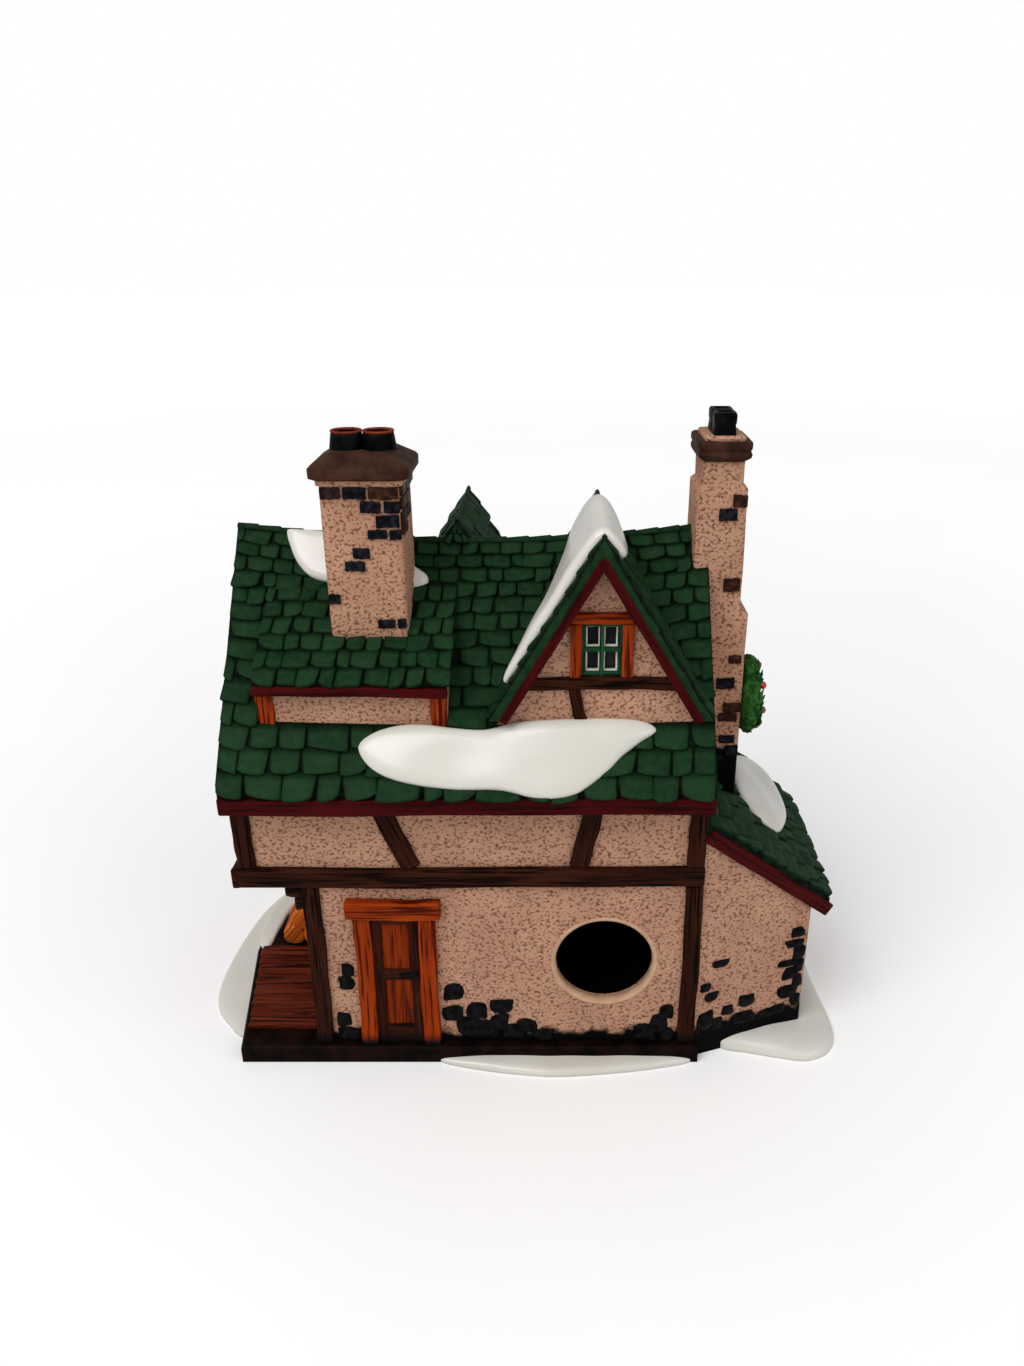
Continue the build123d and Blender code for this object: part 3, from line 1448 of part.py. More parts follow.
pieces = {
    "plinth": plinth, "ground_snow": ground_snow, "rear_snow_drift": rear_snow_drift,
    "rear_wall": rear_wall, "front_wall": front_wall, "left_wall": left_wall, "right_wall": right_wall,
    "rear_upper_wall": rear_upper_wall, "front_upper_wall": front_upper_wall,
    "left_gable_wall": left_gable_wall, "right_gable_wall": right_gable_wall, "jetty_floor": jetty_floor,
    "lean_to_walls": lean_to_walls, "lean_to_roof": lean_to_roof,
    "rear_roof_slope": rear_roof_slope, "front_roof_slope": front_roof_slope, "ridge_tiles": ridge_tiles,
    "fascias": fascias, "bargeboards": bargeboards,
    "shed_dormer_walls": shed_dormer_walls, "shed_dormer_roof": shed_dormer_roof,
    "shed_dormer_posts": shed_dormer_posts,
    "cross_gable_wall": cross_gable_wall, "cross_gable_roof": cross_gable_roof,
    "cross_gable_timbers": cross_gable_timbers,
    "front_gable_wall": front_gable_wall, "front_gable_roof": front_gable_roof,
    "bressummer_beam": bressummer_beam, "wall_posts": wall_posts, "wall_braces": wall_braces,
    "jetty_brackets": jetty_brackets,
    "window_casings": window_casings, "window_sashes": window_sashes,
    "rear_door_frame": rear_door_frame, "rear_door": rear_door,
    "front_door_frame": front_door_frame, "front_door": front_door, "door_latches": door_latches,
    "left_chimney_stack": left_chimney_stack, "left_chimney_cap": left_chimney_cap,
    "left_chimney_pots": left_chimney_pots,
    "right_chimney_stack": right_chimney_stack, "right_chimney_cap": right_chimney_cap,
    "right_chimney_pots": right_chimney_pots,
    "chimney_bricks": chimney_bricks, "wall_stones": wall_stones,
    "boardwalk": boardwalk, "firewood": firewood, "wreath": wreath, "wreath_berries": wreath_berries,
    "eave_snow": eave_snow, "gable_snow": gable_snow, "chimney_snow": chimney_snow,
    "lean_to_snow": lean_to_snow,
}

os.makedirs("parts", exist_ok=True)
for name, piece in pieces.items():
    piece.part.label = name
    export_step(piece.part, f"parts/{name}.step")
for name, shingles in shingle_groups.items():
    group = Compound(label=name, children=shingles)
    export_step(group, f"parts/{name}.step")
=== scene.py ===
# %% [markdown]
# # A ceramic village house
#
# The real thing is a hollow casting of painted clay, a little house that a small lamp lights from inside.
# Its solids come ready made, in metres, and this lesson dresses them: moulded shingles, hewn timbers,
# pitted stucco and glossy snow. Shapes are written in millimetres and turned to metres once, when a mesh is
# made. Finishes work in metres.

# %% Load the frame
import math
import bmesh
import bpy
import numpy as np
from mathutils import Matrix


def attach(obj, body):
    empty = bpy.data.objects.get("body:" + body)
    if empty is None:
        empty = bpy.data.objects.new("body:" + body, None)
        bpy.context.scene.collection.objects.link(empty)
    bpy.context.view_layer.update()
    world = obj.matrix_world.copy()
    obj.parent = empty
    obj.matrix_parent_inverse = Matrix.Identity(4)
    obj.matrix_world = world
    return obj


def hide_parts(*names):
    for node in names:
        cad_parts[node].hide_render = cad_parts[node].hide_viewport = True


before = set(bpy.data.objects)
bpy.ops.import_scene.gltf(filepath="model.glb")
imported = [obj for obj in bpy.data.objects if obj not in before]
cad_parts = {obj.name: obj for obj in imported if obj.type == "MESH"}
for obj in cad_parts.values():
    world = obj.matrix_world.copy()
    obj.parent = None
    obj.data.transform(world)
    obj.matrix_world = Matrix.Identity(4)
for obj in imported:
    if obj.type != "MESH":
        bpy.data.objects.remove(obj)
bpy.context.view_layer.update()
MM = 0.001
bpy.context.scene.view_settings.view_transform = "Standard"
print("frame nodes:", len(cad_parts))

# %% [markdown]
# ## From number arrays to meshes
#
# Every new piece is a grid of points worked out with numpy. Neighbouring points become quads, many grids are
# joined into one mesh, and each point carries three spare numbers, its tag, that the finish can read.

# %% Grids, joins and pieces
def turns(count):
    """Angles round a full turn, the last one short of the first."""
    return np.linspace(0, 2 * np.pi, count, endpoint=False)


def stacked(*columns):
    """Arrays as the columns of one, such as x, y and z as points."""
    return np.stack(np.broadcast_arrays(*columns), -1)


def unit(vectors):
    return vectors / np.linalg.norm(vectors, axis=-1, keepdims=True)


def superellipse(turn, power):
    """A circle drawn towards a box: the cosine and the sine of a turn, each raised to a power below one."""
    return [np.sign(f(turn)) * np.abs(f(turn)) ** power for f in (np.cos, np.sin)]


def grid_quads(rows, cols, wrap_cols):
    """Quads of a grid: a point, its neighbour in the row, and the same two in the next row."""
    row = np.arange(rows - 1)[:, None]
    col = np.arange(cols if wrap_cols else cols - 1)[None, :]
    beside = (col + 1) % cols
    corners = (row * cols + col, row * cols + beside, (row + 1) * cols + beside, (row + 1) * cols + col)
    return stacked(*corners).reshape(-1, 4)


def many(points, tags=0.0, wrap_cols=True):
    """Grids of one size as one shape: the quads of the first, moved on by a grid's points each time."""
    count, rows, cols = points.shape[:3]
    quads = grid_quads(rows, cols, wrap_cols)
    quads = quads[None] + (np.arange(count) * rows * cols)[:, None, None]
    return points.reshape(-1, 3), quads.reshape(-1, 4), np.broadcast_to(tags, points.shape).reshape(-1, 3)


def join(*shapes):
    """Several shapes as one: each one's quads move on by the points before it."""
    starts = np.cumsum([0] + [len(shape[0]) for shape in shapes[:-1]])
    points = np.concatenate([shape[0] for shape in shapes])
    quads = np.concatenate([shape[1] + start for shape, start in zip(shapes, starts)])
    return points, quads, np.concatenate([shape[2] for shape in shapes])


def put(name, data):
    """A new object in the scene."""
    made = bpy.data.objects.new(name, data)
    bpy.context.scene.collection.objects.link(made)
    return made


def piece(name, shape, finish, slot, *nodes, turn_out=True):
    """A smooth mesh object from a shape, standing for the frame nodes it is drawn in place of."""
    points, quads, tags = shape
    mesh = bpy.data.meshes.new(name)
    mesh.from_pydata((points * MM).tolist(), [], quads.tolist())
    tag = mesh.attributes.new("tag", "FLOAT_VECTOR", "POINT")
    tag.data.foreach_set("vector", tags.astype(np.float32).ravel())
    work = bmesh.new()
    work.from_mesh(mesh)
    bmesh.ops.remove_doubles(work, verts=work.verts, dist=2e-6)
    if turn_out:
        bmesh.ops.recalc_face_normals(work, faces=work.faces)
    work.to_mesh(mesh)
    work.free()
    mesh.shade_smooth()
    mesh.materials.append(PAINTS[finish])
    made = put(name, mesh)
    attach(made, "root")
    if nodes:
        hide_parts(*nodes)
    print(name, "faces:", len(mesh.polygons))


def ripple(points, wave, seed):
    """Smooth unevenness near -1 to 1: the mean of six sine waves in seeded directions, about a wave long."""
    rng = np.random.default_rng(seed)
    ways = rng.normal(size=(6, 3))
    ways *= (rng.uniform(0.6, 1.6, 6) * 2 * np.pi / wave / np.linalg.norm(ways, axis=1))[:, None]
    return np.sin(points @ ways.T + rng.uniform(0, 2 * np.pi, 6)).mean(-1) * 1.6


# %% [markdown]
# ## Finishes
#
# Fired clay takes paint in thin washes: the colour pools dark in the hollows and rubs pale on the edges.
# One recipe serves most finishes. A noise mixes two paints, a second colour lies in the pits, and the same
# noise lifts the surface. Boards use their own tag, so that the grain runs along each of them.

# %% Node helpers
MATT, GLAZED = 0.03, 0.5
PAINTS = {}


def linear(red, green, blue):
    """A colour as picked on a screen, 0 to 255, turned to the linear values that a shader works in."""
    share = np.array([red, green, blue]) / 255
    low, high = share / 12.92, ((share + 0.055) / 1.055) ** 2.4
    return (*np.where(share <= 0.04045, low, high).tolist(), 1.0)


class Finish:
    """A material, kept by its name in PAINTS, with a few short ways to add nodes to it."""

    def __init__(self, name, rough, coat=0.0):
        PAINTS[name] = bpy.data.materials.new(name)
        PAINTS[name].use_nodes = True
        self.tree = PAINTS[name].node_tree
        self.place = self.add("ShaderNodeTexCoord")["Object"]
        self.shade({"Roughness": rough, "Specular IOR Level": GLAZED if coat else MATT, "Coat Weight": coat,
                    "Coat Roughness": 0.12})

    def feed(self, node, inputs):
        """Inputs of a node: a link from another socket, a colour of three screen values, or a value."""
        for key, value in inputs.items():
            if isinstance(value, bpy.types.NodeSocket):
                self.tree.links.new(value, node.inputs[key])
            else:
                node.inputs[key].default_value = linear(*value) if isinstance(value, tuple) else value

    def shade(self, inputs):
        self.feed(self.tree.nodes["Principled BSDF"], inputs)

    def add(self, kind, inputs=(), **settings):
        """The outputs of a new node."""
        node = self.tree.nodes.new(kind)
        for key, value in settings.items():
            setattr(node, key, value)
        self.feed(node, dict(inputs))
        return node.outputs

    def tag(self):
        """The three tag numbers of the piece, as a vector."""
        return self.add("ShaderNodeAttribute", attribute_name="tag")["Vector"]

    def parts(self, vector):
        """The X, Y and Z of a vector."""
        return self.add("ShaderNodeSeparateXYZ", {0: vector})

    def stretch(self, vector, *scales):
        """A vector times a fixed one, to draw a pattern out along an axis."""
        return self.add("ShaderNodeVectorMath", {0: vector, 1: list(scales)}, operation="MULTIPLY")[0]

    def noise(self, scale, detail, vector=None):
        where = {"Vector": vector or self.place, "Scale": scale, "Detail": detail}
        return self.add("ShaderNodeTexNoise", where)["Fac"]

    def ramp(self, value, low, high):
        """0 below low, 1 above high, smooth between them."""
        ends = {"Value": value, "From Min": low, "From Max": high}
        return self.add("ShaderNodeMapRange", ends, interpolation_type="SMOOTHSTEP")["Result"]

    def sums(self, operation, first, second):
        return self.add("ShaderNodeMath", {0: first, 1: second}, operation=operation)[0]

    def mix(self, share, first, second):
        return self.add("ShaderNodeMix", {"Factor": share, 6: first, 7: second}, data_type="RGBA")[2]

    def lift(self, height, strength, depth):
        """Bump: the height tilts the surface as if it stood that many metres proud."""
        bump = self.add("ShaderNodeBump", {"Height": height, "Strength": strength, "Distance": depth})
        self.shade({"Normal": bump["Normal"]})

    def colour(self, value):
        self.shade({"Base Color": value})


# %% [markdown]
# Stucco is tan clay pressed with a rough brush. Brown wash stays in its pits, and the foot of the walls is
# painted black up to an uneven line, where the stones are.

# %% Stucco
def stucco_finish(name, pale, wash, foot=0.0):
    paint = Finish(name, rough=0.62)
    drawn = paint.stretch(paint.place, 0.82, 0.82, 1.0)
    pits = paint.ramp(paint.noise(scale=1150.0, detail=2.0, vector=drawn), 0.29, 0.51)
    broad = paint.ramp(paint.noise(scale=60.0, detail=3.0), 0.35, 0.70)
    skin = paint.mix(pits, wash, paint.mix(broad, pale, (192, 147, 121)))
    if foot:
        ragged = paint.sums("MULTIPLY", paint.noise(scale=170.0, detail=2.0), 0.011)
        above = paint.sums("SUBTRACT", paint.parts(paint.place)["Z"], ragged)
        skin = paint.mix(paint.ramp(above, foot - 0.002, foot + 0.0015), (9, 7, 7), skin)
    paint.lift(pits, strength=0.6, depth=0.0006)
    paint.colour(skin)


stucco_finish("stucco", (181, 136, 112), (122, 79, 60), foot=0.0064)
stucco_finish("chimney_stucco", (179, 134, 108), (118, 75, 56))
stucco_finish("shaft_stucco", (179, 134, 108), (118, 75, 56), foot=0.096)
print("stucco nodes:", len(PAINTS["stucco"].node_tree.nodes))

# %% [markdown]
# The roof's green is painted nearly black under each butt and between the shingles: painted shade. The
# shingles' tag says how deep in that painted shade a point lies and gives each shingle a tone of its own.

# %% Roof green
def roof_finish(name, tagged):
    paint = Finish(name, rough=0.52)
    brushed = paint.noise(scale=420.0, detail=4.0)
    green = paint.mix(paint.ramp(brushed, 0.30, 0.72), (18, 43, 24), (28, 56, 32))
    if tagged:
        painted_shade, tone, _ = paint.parts(paint.tag())
        green = paint.mix(paint.sums("MULTIPLY", tone, 0.4), green, (39, 68, 40))
        # painted shade: the green turns near-black where the tag marks shade, under the butts and between the
        # shingles
        green = paint.mix(painted_shade, green, (7, 13, 9))
    paint.lift(brushed, strength=0.25, depth=0.0004)
    paint.colour(green)


roof_finish("shingle_green", tagged=True)
roof_finish("roof_green", tagged=False)
print("roof finishes made")

# %% [markdown]
# Timbers, boards and planks share one grained finish. The noise is drawn out along the board, dark wash lies
# in the grooves, and the ridges between them are rubbed pale. Some are black at the foot, like the walls.

# %% Grained paint
def grained_finish(name, wash, mid, pale, rough=0.45, groove=0.55, foot=0.0):
    paint = Finish(name, rough)
    board = paint.tag()
    streaks = paint.noise(1.0, detail=3.0, vector=paint.stretch(board, 0.05, 1.1, 37.0))
    tone = paint.noise(1.0, detail=2.0, vector=paint.stretch(board, 0.03, 0.2, 17.0))
    body = paint.mix(paint.ramp(tone, 0.35, 0.65), mid, pale)
    wood = paint.mix(paint.ramp(streaks, 0.38, 0.52), wash, body)
    if foot:
        above = paint.ramp(paint.parts(paint.place)["Z"], foot - 0.002, foot + 0.003)
        wood = paint.mix(above, (12, 9, 8), wood)
    paint.lift(streaks, groove, depth=0.0006)
    paint.colour(wood)


# Each row: name, wash in the grooves, two paints, roughness, strength of the grooves, height of the black foot.
for row in (
    ("timber", (11, 4, 2), (40, 15, 7), (57, 27, 15), 0.45, 0.55, 0.010),
    ("orange_wood", (70, 18, 4), (138, 46, 8), (158, 60, 14), 0.4, 0.55, 0.0095),
    ("dark_wood", (20, 8, 5), (50, 20, 10), (66, 30, 17), 0.45, 0.55, 0.010),
    ("maroon", (38, 5, 6), (62, 7, 9), (70, 11, 12), 0.42, 0.12),
    ("deck_wood", (34, 9, 5), (80, 26, 14), (102, 42, 25), 0.42),
    ("sash_green", (14, 34, 22), (28, 62, 38), (40, 80, 48), 0.4, 0.15),
    ("panel_wood", (76, 22, 5), (116, 37, 6), (132, 47, 10), 0.4, 0.2),
    ("log_bark", (140, 62, 20), (196, 94, 32), (216, 116, 46)),
):
    grained_finish(*row)
print("grained finishes made")

# %% Bricks, snow, stone and other plain finishes
def brick_finish(name):
    """Each brick takes near black or brown by its tag."""
    paint = Finish(name, rough=0.36)
    mottle = paint.noise(scale=500.0, detail=3.0)
    share = paint.ramp(mottle, 0.4, 0.7)
    dark = paint.mix(share, (12, 12, 16), (34, 34, 44))
    brown = paint.mix(share, (40, 22, 16), (72, 44, 32))
    paint.lift(mottle, strength=0.3, depth=0.0004)
    paint.colour(paint.mix(paint.ramp(paint.parts(paint.tag())["Z"], 0.74, 0.76), dark, brown))


def plain_finish(name, first, second, scale, rough, coat=0.0, bump=0.2, depth=0.0003):
    """Two paints mixed by a noise, which also lifts the surface a little."""
    paint = Finish(name, rough, coat)
    mottle = paint.noise(scale, detail=4.0)
    paint.lift(mottle, bump, depth)
    paint.colour(paint.mix(paint.ramp(mottle, 0.35, 0.65), first, second))


brick_finish("brick")
# Each row: name, two paints, scale of the noise, roughness, glaze, strength and depth of the bump.
for row in (
    # The roof decks show only between the shingles; their near-black green is painted shade in the gaps.
    ("gap_shade_green", (8, 15, 10), (18, 34, 22), 300.0, 0.6),
    ("snow", (212, 209, 199), (221, 218, 209), 30.0, 0.30, 0.35, 0.08, 0.0008),
    ("stone", (5, 5, 6), (22, 20, 22), 420.0, 0.34, 0.0, 0.4, 0.0005),
    ("plinth_black", (7, 4, 3), (28, 12, 8), 150.0, 0.45, 0.0, 0.4, 0.0006),
    ("cap_brown", (46, 29, 22), (68, 44, 33), 180.0, 0.5, 0.0, 0.3, 0.0004),
    ("pot_black", (5, 5, 6), (18, 17, 18), 300.0, 0.35),
    ("rim_rust", (98, 38, 22), (132, 56, 34), 400.0, 0.45),
    ("leaf_green", (22, 62, 24), (56, 108, 46), 260.0, 0.45),
    ("berry_red", (150, 16, 14), (178, 26, 20), 200.0, 0.22, 0.3),
    ("pane_pale", (206, 204, 192), (226, 224, 214), 300.0, 0.4),
    # Dark film behind the panes: painted shade for the hollow inside.
    ("interior_shade_dark", (26, 28, 28), (44, 46, 45), 90.0, 0.25),
    ("smooth_clay", (186, 146, 118), (200, 164, 132), 200.0, 0.5),
):
    plain_finish(*row)
print("finishes:", len(PAINTS))

# %% [markdown]
# ## Where things are
#
# The same sizes drive the solids. A face is a place on a wall: a point to count from, the way along the wall
# and the way out of it. The main roof's deck is a surface of its own, let down in the middle by its sag.

# %% Faces and roof surface
TO_RIGHT, TO_FRONT, UP = np.eye(3)
HOUSE_LEFT, HOUSE_RIGHT, REAR_WALL, FRONT_WALL, PLINTH_TOP = -67.0, 60.4, -49.0, 41.0, 6.4
CANT_RUN, CANT_DEPTH = 39.0, 13.7
CANT = math.atan2(CANT_DEPTH, CANT_RUN)
CANT_WAY = np.array((math.cos(CANT), math.sin(CANT), 0))
FACES = {
    "rear": (REAR_WALL * TO_FRONT, TO_RIGHT, -TO_FRONT),
    "front": (FRONT_WALL * TO_FRONT, TO_RIGHT, TO_FRONT),
    "left": (HOUSE_LEFT * TO_RIGHT, TO_FRONT, -TO_RIGHT),
    "jetty": (-86.0 * TO_RIGHT, TO_FRONT, -TO_RIGHT),
    "shed": (-43.4 * TO_FRONT, TO_RIGHT, -TO_FRONT),
    "gable": (-43.7 * TO_FRONT, TO_RIGHT, -TO_FRONT),
    "front_gable": (39.0 * TO_FRONT, TO_RIGHT, TO_FRONT),
    "lean_to": ((HOUSE_RIGHT + CANT_RUN) * TO_RIGHT, TO_FRONT, TO_RIGHT),
    "cant": (HOUSE_RIGHT * TO_RIGHT + REAR_WALL * TO_FRONT, CANT_WAY, np.cross(CANT_WAY, UP)),
}
ROOF_LEFT, ROOF_LENGTH, RIDGE_Y, ROOF_SPAN = -87.0, 148.4, -4.0, 52.0
EAVE_HEIGHT, ROOF_RISE, EAVE_SAG, RIDGE_SAG = 109.4, 64.9, 0.8, 4.2
REAR_EAVE, FRONT_EAVE = RIDGE_Y - ROOF_SPAN, RIDGE_Y + ROOF_SPAN
ROOF_PITCH, GABLE_PITCH = math.atan(ROOF_RISE / ROOF_SPAN), math.radians(59)
GABLE_RISE = math.tan(GABLE_PITCH)
CROSS_GABLE, FRONT_GABLE = (27.0, 182.0), (-17.6, 175.2)  # middle and height of the apex


def at(face, along, height):
    """A point of a wall face, by its place along the wall and its height."""
    origin, way, _ = FACES[face]
    return origin + along * way + height * UP


def deck_height(x, y):
    """Height of the roof deck: a straight rise to the ridge, less a sag that is most at mid ridge."""
    rise = 1 - np.abs(y - RIDGE_Y) / ROOF_SPAN
    middle = 1 - (2 * (x - ROOF_LEFT) / ROOF_LENGTH - 1) ** 2
    return EAVE_HEIGHT + ROOF_RISE * rise - (EAVE_SAG + RIDGE_SAG * rise) * middle


print("ridge at mid roof, mm:", round(float(deck_height(ROOF_LEFT + ROOF_LENGTH / 2, RIDGE_Y)), 1))

# %% [markdown]
# ## Shingles
#
# The moulder pressed each shingle as a small pillow with rounded lower corners, thick at its butt and thin at
# its head, where the next course covers it. One formula makes them all: a small grid over a deck, pushed out
# along the deck's normal. Each course has joints of its own, a little uneven, and each shingle leans.

# %% Shingle formula
ACROSS = np.array([-1, -1, -0.86, -0.45, 0, 0.45, 0.86, 1, 1.0])
FROM_BUTT = np.array([0, 0, 0.09, 0.36, 0.72, 1.14, 1.14])
THICKNESS, SUNK, HALF_JOINT = 1.5, 0.35, 0.20


def shingle_rows(span, length, exposure, width, overhang, grade, rng):
    """Left and right ends, butt and step of every shingle; the grade draws the upper courses closer."""
    count = max(1, round((length + overhang) / exposure))
    share = np.arange(count + 1) / count
    butts = (length + overhang) * (1 + grade - grade * share) * share - overhang
    rows = []
    for course in range(count):
        size = width * (1 + 0.7 * grade * (1 - 2 * share[course]))
        pieces = max(1, round(span / size))
        stagger = 0.5 if course % 2 else 0.0
        joints = np.arange(1, pieces + 1) - stagger + rng.uniform(-0.24, 0.24, pieces)
        joints = joints[(joints > 0.35) & (joints < pieces - 0.35)] / pieces
        ends = np.concatenate(([0.0], joints, [1.0]))
        rows.append(stacked(ends[:-1], ends[1:], butts[course], butts[course + 1] - butts[course]))
    return np.concatenate(rows)


def shingles(deck, span, length, keep, seed, exposure=6.4, width=8.3, overhang=0.0, grade=0.0):
    """Pillow shingles over a deck. The butt's corners curve up with the fourth power of the way across; the
    height falls from butt to head, rounds off at the sides and drops to the deck all round."""
    rng = np.random.default_rng(seed)
    rows = shingle_rows(span, length, exposure, width, overhang, grade, rng)
    middle = deck(rows[:, :2].mean(1), rows[:, 2] + rows[:, 3] / 2)
    left, right, butt, step = rows[keep(*middle.T)].T[..., None, None]
    lot = rng.uniform(-1, 1, (6, len(left), 1, 1))
    taper, curl, slant, slip = 0.05 * (1 + lot[0]), 0.11 + 0.09 * lot[1], 0.14 * lot[2], 0.08 * lot[3]
    lean, thick, tip = 0.20 * lot[3], THICKNESS * (1.08 + 0.18 * lot[4]), 0.22 * lot[5]
    s, t = ACROSS, FROM_BUTT[:, None]
    down = 1 - np.minimum(t, 1)
    half = (right - left) / 2
    w = (left + right) / 2 + s * (half - HALF_JOINT / span) * (1 - taper * (1 - t) * s ** 2)
    w = w + lean * half * down
    v = butt + step * (t + down ** 3 * (curl * np.abs(s) ** 4 + slant * s + slip))
    skirt = np.ones((len(FROM_BUTT), len(ACROSS)), bool)
    skirt[1:-1, 1:-1] = False
    pillow = (1 - 0.66 * t) * (1 - 0.16 * np.abs(s) ** 7) * (1 - 0.18 * np.exp(-18 * t)) + tip * s
    height = np.where(skirt, -SUNK, thick * pillow)
    points = deck(w, v)
    normal = unit(np.cross(deck(w + 1e-3, v) - points, deck(w, v + 1e-2) - points))
    # painted shade: 1 on the skirt, rising at the sides and at the head that the next course covers
    painted_shade = np.clip(skirt + 0.5 * np.abs(s) ** 9 + 0.8 * np.clip(t - 0.74, 0, 1) / 0.4, 0, 1)
    return many(points + normal * height[..., None], stacked(painted_shade, (lot[0] + 1) / 2, 0.0), wrap_cols=False)


def courses(name, shape, node):
    """A piece of shingles, whose faces look out already."""
    piece(name, shape, "shingle_green", "roof_green", node, turn_out=False)


# %% Main roof shingles
def within(value, low, high):
    return (value > low) & (value < high)


def main_deck(eave, way):
    """A slope of the main roof. The front one runs the other way, so that its normal points out too."""
    def deck(w, v):
        x, y = ROOF_LEFT + ROOF_LENGTH * (w if way > 0 else 1 - w), eave + way * v * math.cos(ROOF_PITCH)
        return stacked(x, y, deck_height(x, y))
    return deck


def under_gable(x, z, centre, apex):
    return np.abs(x - centre) < (apex - z) / GABLE_RISE - 1.2


def rear_clear(x, y, z):
    shed = within(x, -74, -18.5) & within(y, -43.8, -18.0)
    chimney = within(x, -54, -30.8) & within(y, -33, -9.5)
    gable = under_gable(x, z, *CROSS_GABLE) & (y > -44)
    return ~(shed | chimney | gable | ((x > 57.5) & (y > -13)))


def front_clear(x, y, z):
    gables = (under_gable(x, z, *FRONT_GABLE) & (y < 39)) | (under_gable(x, z, *CROSS_GABLE) & (y < 8))
    return ~(gables | ((x > 57.5) & (y < 7)))


slope = math.hypot(ROOF_SPAN, ROOF_RISE) - 0.8
rear_courses, front_courses = (
    shingles(main_deck(eave, way), ROOF_LENGTH, slope, clear, seed, overhang=4.2, grade=0.3)
    for eave, way, clear, seed in ((REAR_EAVE, 1, rear_clear, 11), (FRONT_EAVE, -1, front_clear, 12)))
courses("rear_shingle_courses", rear_courses, "rear_shingles")
courses("front_shingle_courses", front_courses, "front_shingles")

# %% Dormer, gable and lean-to shingles
SHED_PITCH, LEAN_PITCH = math.radians(33), math.radians(40.5)
SHED_LEFT, SHED_LENGTH, SHED_EAVE, SHED_EAVE_HEIGHT = -76.0, 59.0, -46.0, 138.4
LEAN_EAVE, LEAN_EAVE_HEIGHT, LEAN_VERGE, LEAN_FRONT = 105.6, 54.4, -50.2, 36.2


def shed_deck(w, v):
    y, z = SHED_EAVE + v * math.cos(SHED_PITCH), SHED_EAVE_HEIGHT + v * math.sin(SHED_PITCH)
    return stacked(SHED_LEFT + SHED_LENGTH * w, y, z)


def shed_clear(x, y, z):
    chimney = within(x, -52.5, -32.2) & (y > -33.5)
    return ~chimney & (z > deck_height(x, y) - 0.4)


def on_roof(x, y, z):
    return z > deck_height(x, y) - 0.6


def gable_shingles(centre, apex, tip, start, end, seed):
    """Both slopes of a gable, the left one run the other way."""
    half, length = (apex - tip) / GABLE_RISE, (apex - tip) / math.sin(GABLE_PITCH)

    def slope_deck(side):
        def deck(w, v):
            x = centre + side * (half - v * math.cos(GABLE_PITCH))
            y = start + (end - start) * (w if side > 0 else 1 - w)
            return stacked(x, y, tip + v * math.sin(GABLE_PITCH))
        return deck

    return join(*[shingles(slope_deck(side), end - start, length, on_roof, seed + i, width=7.8)
                  for i, side in enumerate((1, -1))])


def lean_deck(w, v):
    x = LEAN_EAVE - v * math.cos(LEAN_PITCH)
    verge = LEAN_VERGE + (x - HOUSE_RIGHT) * CANT_DEPTH / CANT_RUN
    return stacked(x, verge + (LEAN_FRONT - verge) * w, LEAN_EAVE_HEIGHT + v * math.sin(LEAN_PITCH))


def lean_clear(x, y, z):
    return ~((x < 74) & within(y, -12, 6))


def gable_end(w, v):
    """A steep triangle that closes the rear end of the front gable, down onto the main ridge."""
    share = np.clip(1 - v / 6.4, 0.02, 1.0)
    return stacked(FRONT_GABLE[0] + (2 * w - 1) * 4.1 * share, -5.6 + 0.26 * v, 169.2 + 0.97 * v)


lean_length = (LEAN_EAVE - HOUSE_RIGHT) / math.cos(LEAN_PITCH)
shed_courses = shingles(shed_deck, SHED_LENGTH, 36.0, shed_clear, 21, width=6.8, exposure=5.9, overhang=1.6)
cross_courses = gable_shingles(*CROSS_GABLE, tip=127.0, start=-48.9, end=8.2, seed=31)
front_courses = join(gable_shingles(*FRONT_GABLE, tip=121.0, start=-4.0, end=44.2, seed=41),
                     shingles(gable_end, 8.0, 6.0, on_roof, 61, exposure=3.0, width=3.0))
lean_courses = shingles(lean_deck, 78.0, lean_length, lean_clear, 51, overhang=1.6)
courses("shed_dormer_courses", shed_courses, "shed_dormer_shingles")
courses("cross_gable_courses", cross_courses, "cross_gable_shingles")
courses("front_gable_courses", front_courses, "front_gable_shingles")
courses("lean_to_courses", lean_courses, "lean_to_shingles")

# %% [markdown]
# ## Ridges
#
# Along each ridge the clay is pinched into a low saddle, marked off into tiles. A saddle-shaped profile is
# carried along the ridge line, and a saw-tooth along the way steps one tile up onto the next.

# %% Ridge saddles
REACH = np.array([-1, -0.97, -0.7, -0.4, -0.15, 0, 0.15, 0.4, 0.7, 0.97, 1, 0.5, 0, -0.5])
TOP = np.array([0, 0.75, 1, 1, 1, 1, 1, 1, 1, 0.75, 0, 0, 0, 0])
CROWN, RIDGE_PROUD = 0.35, 0.35


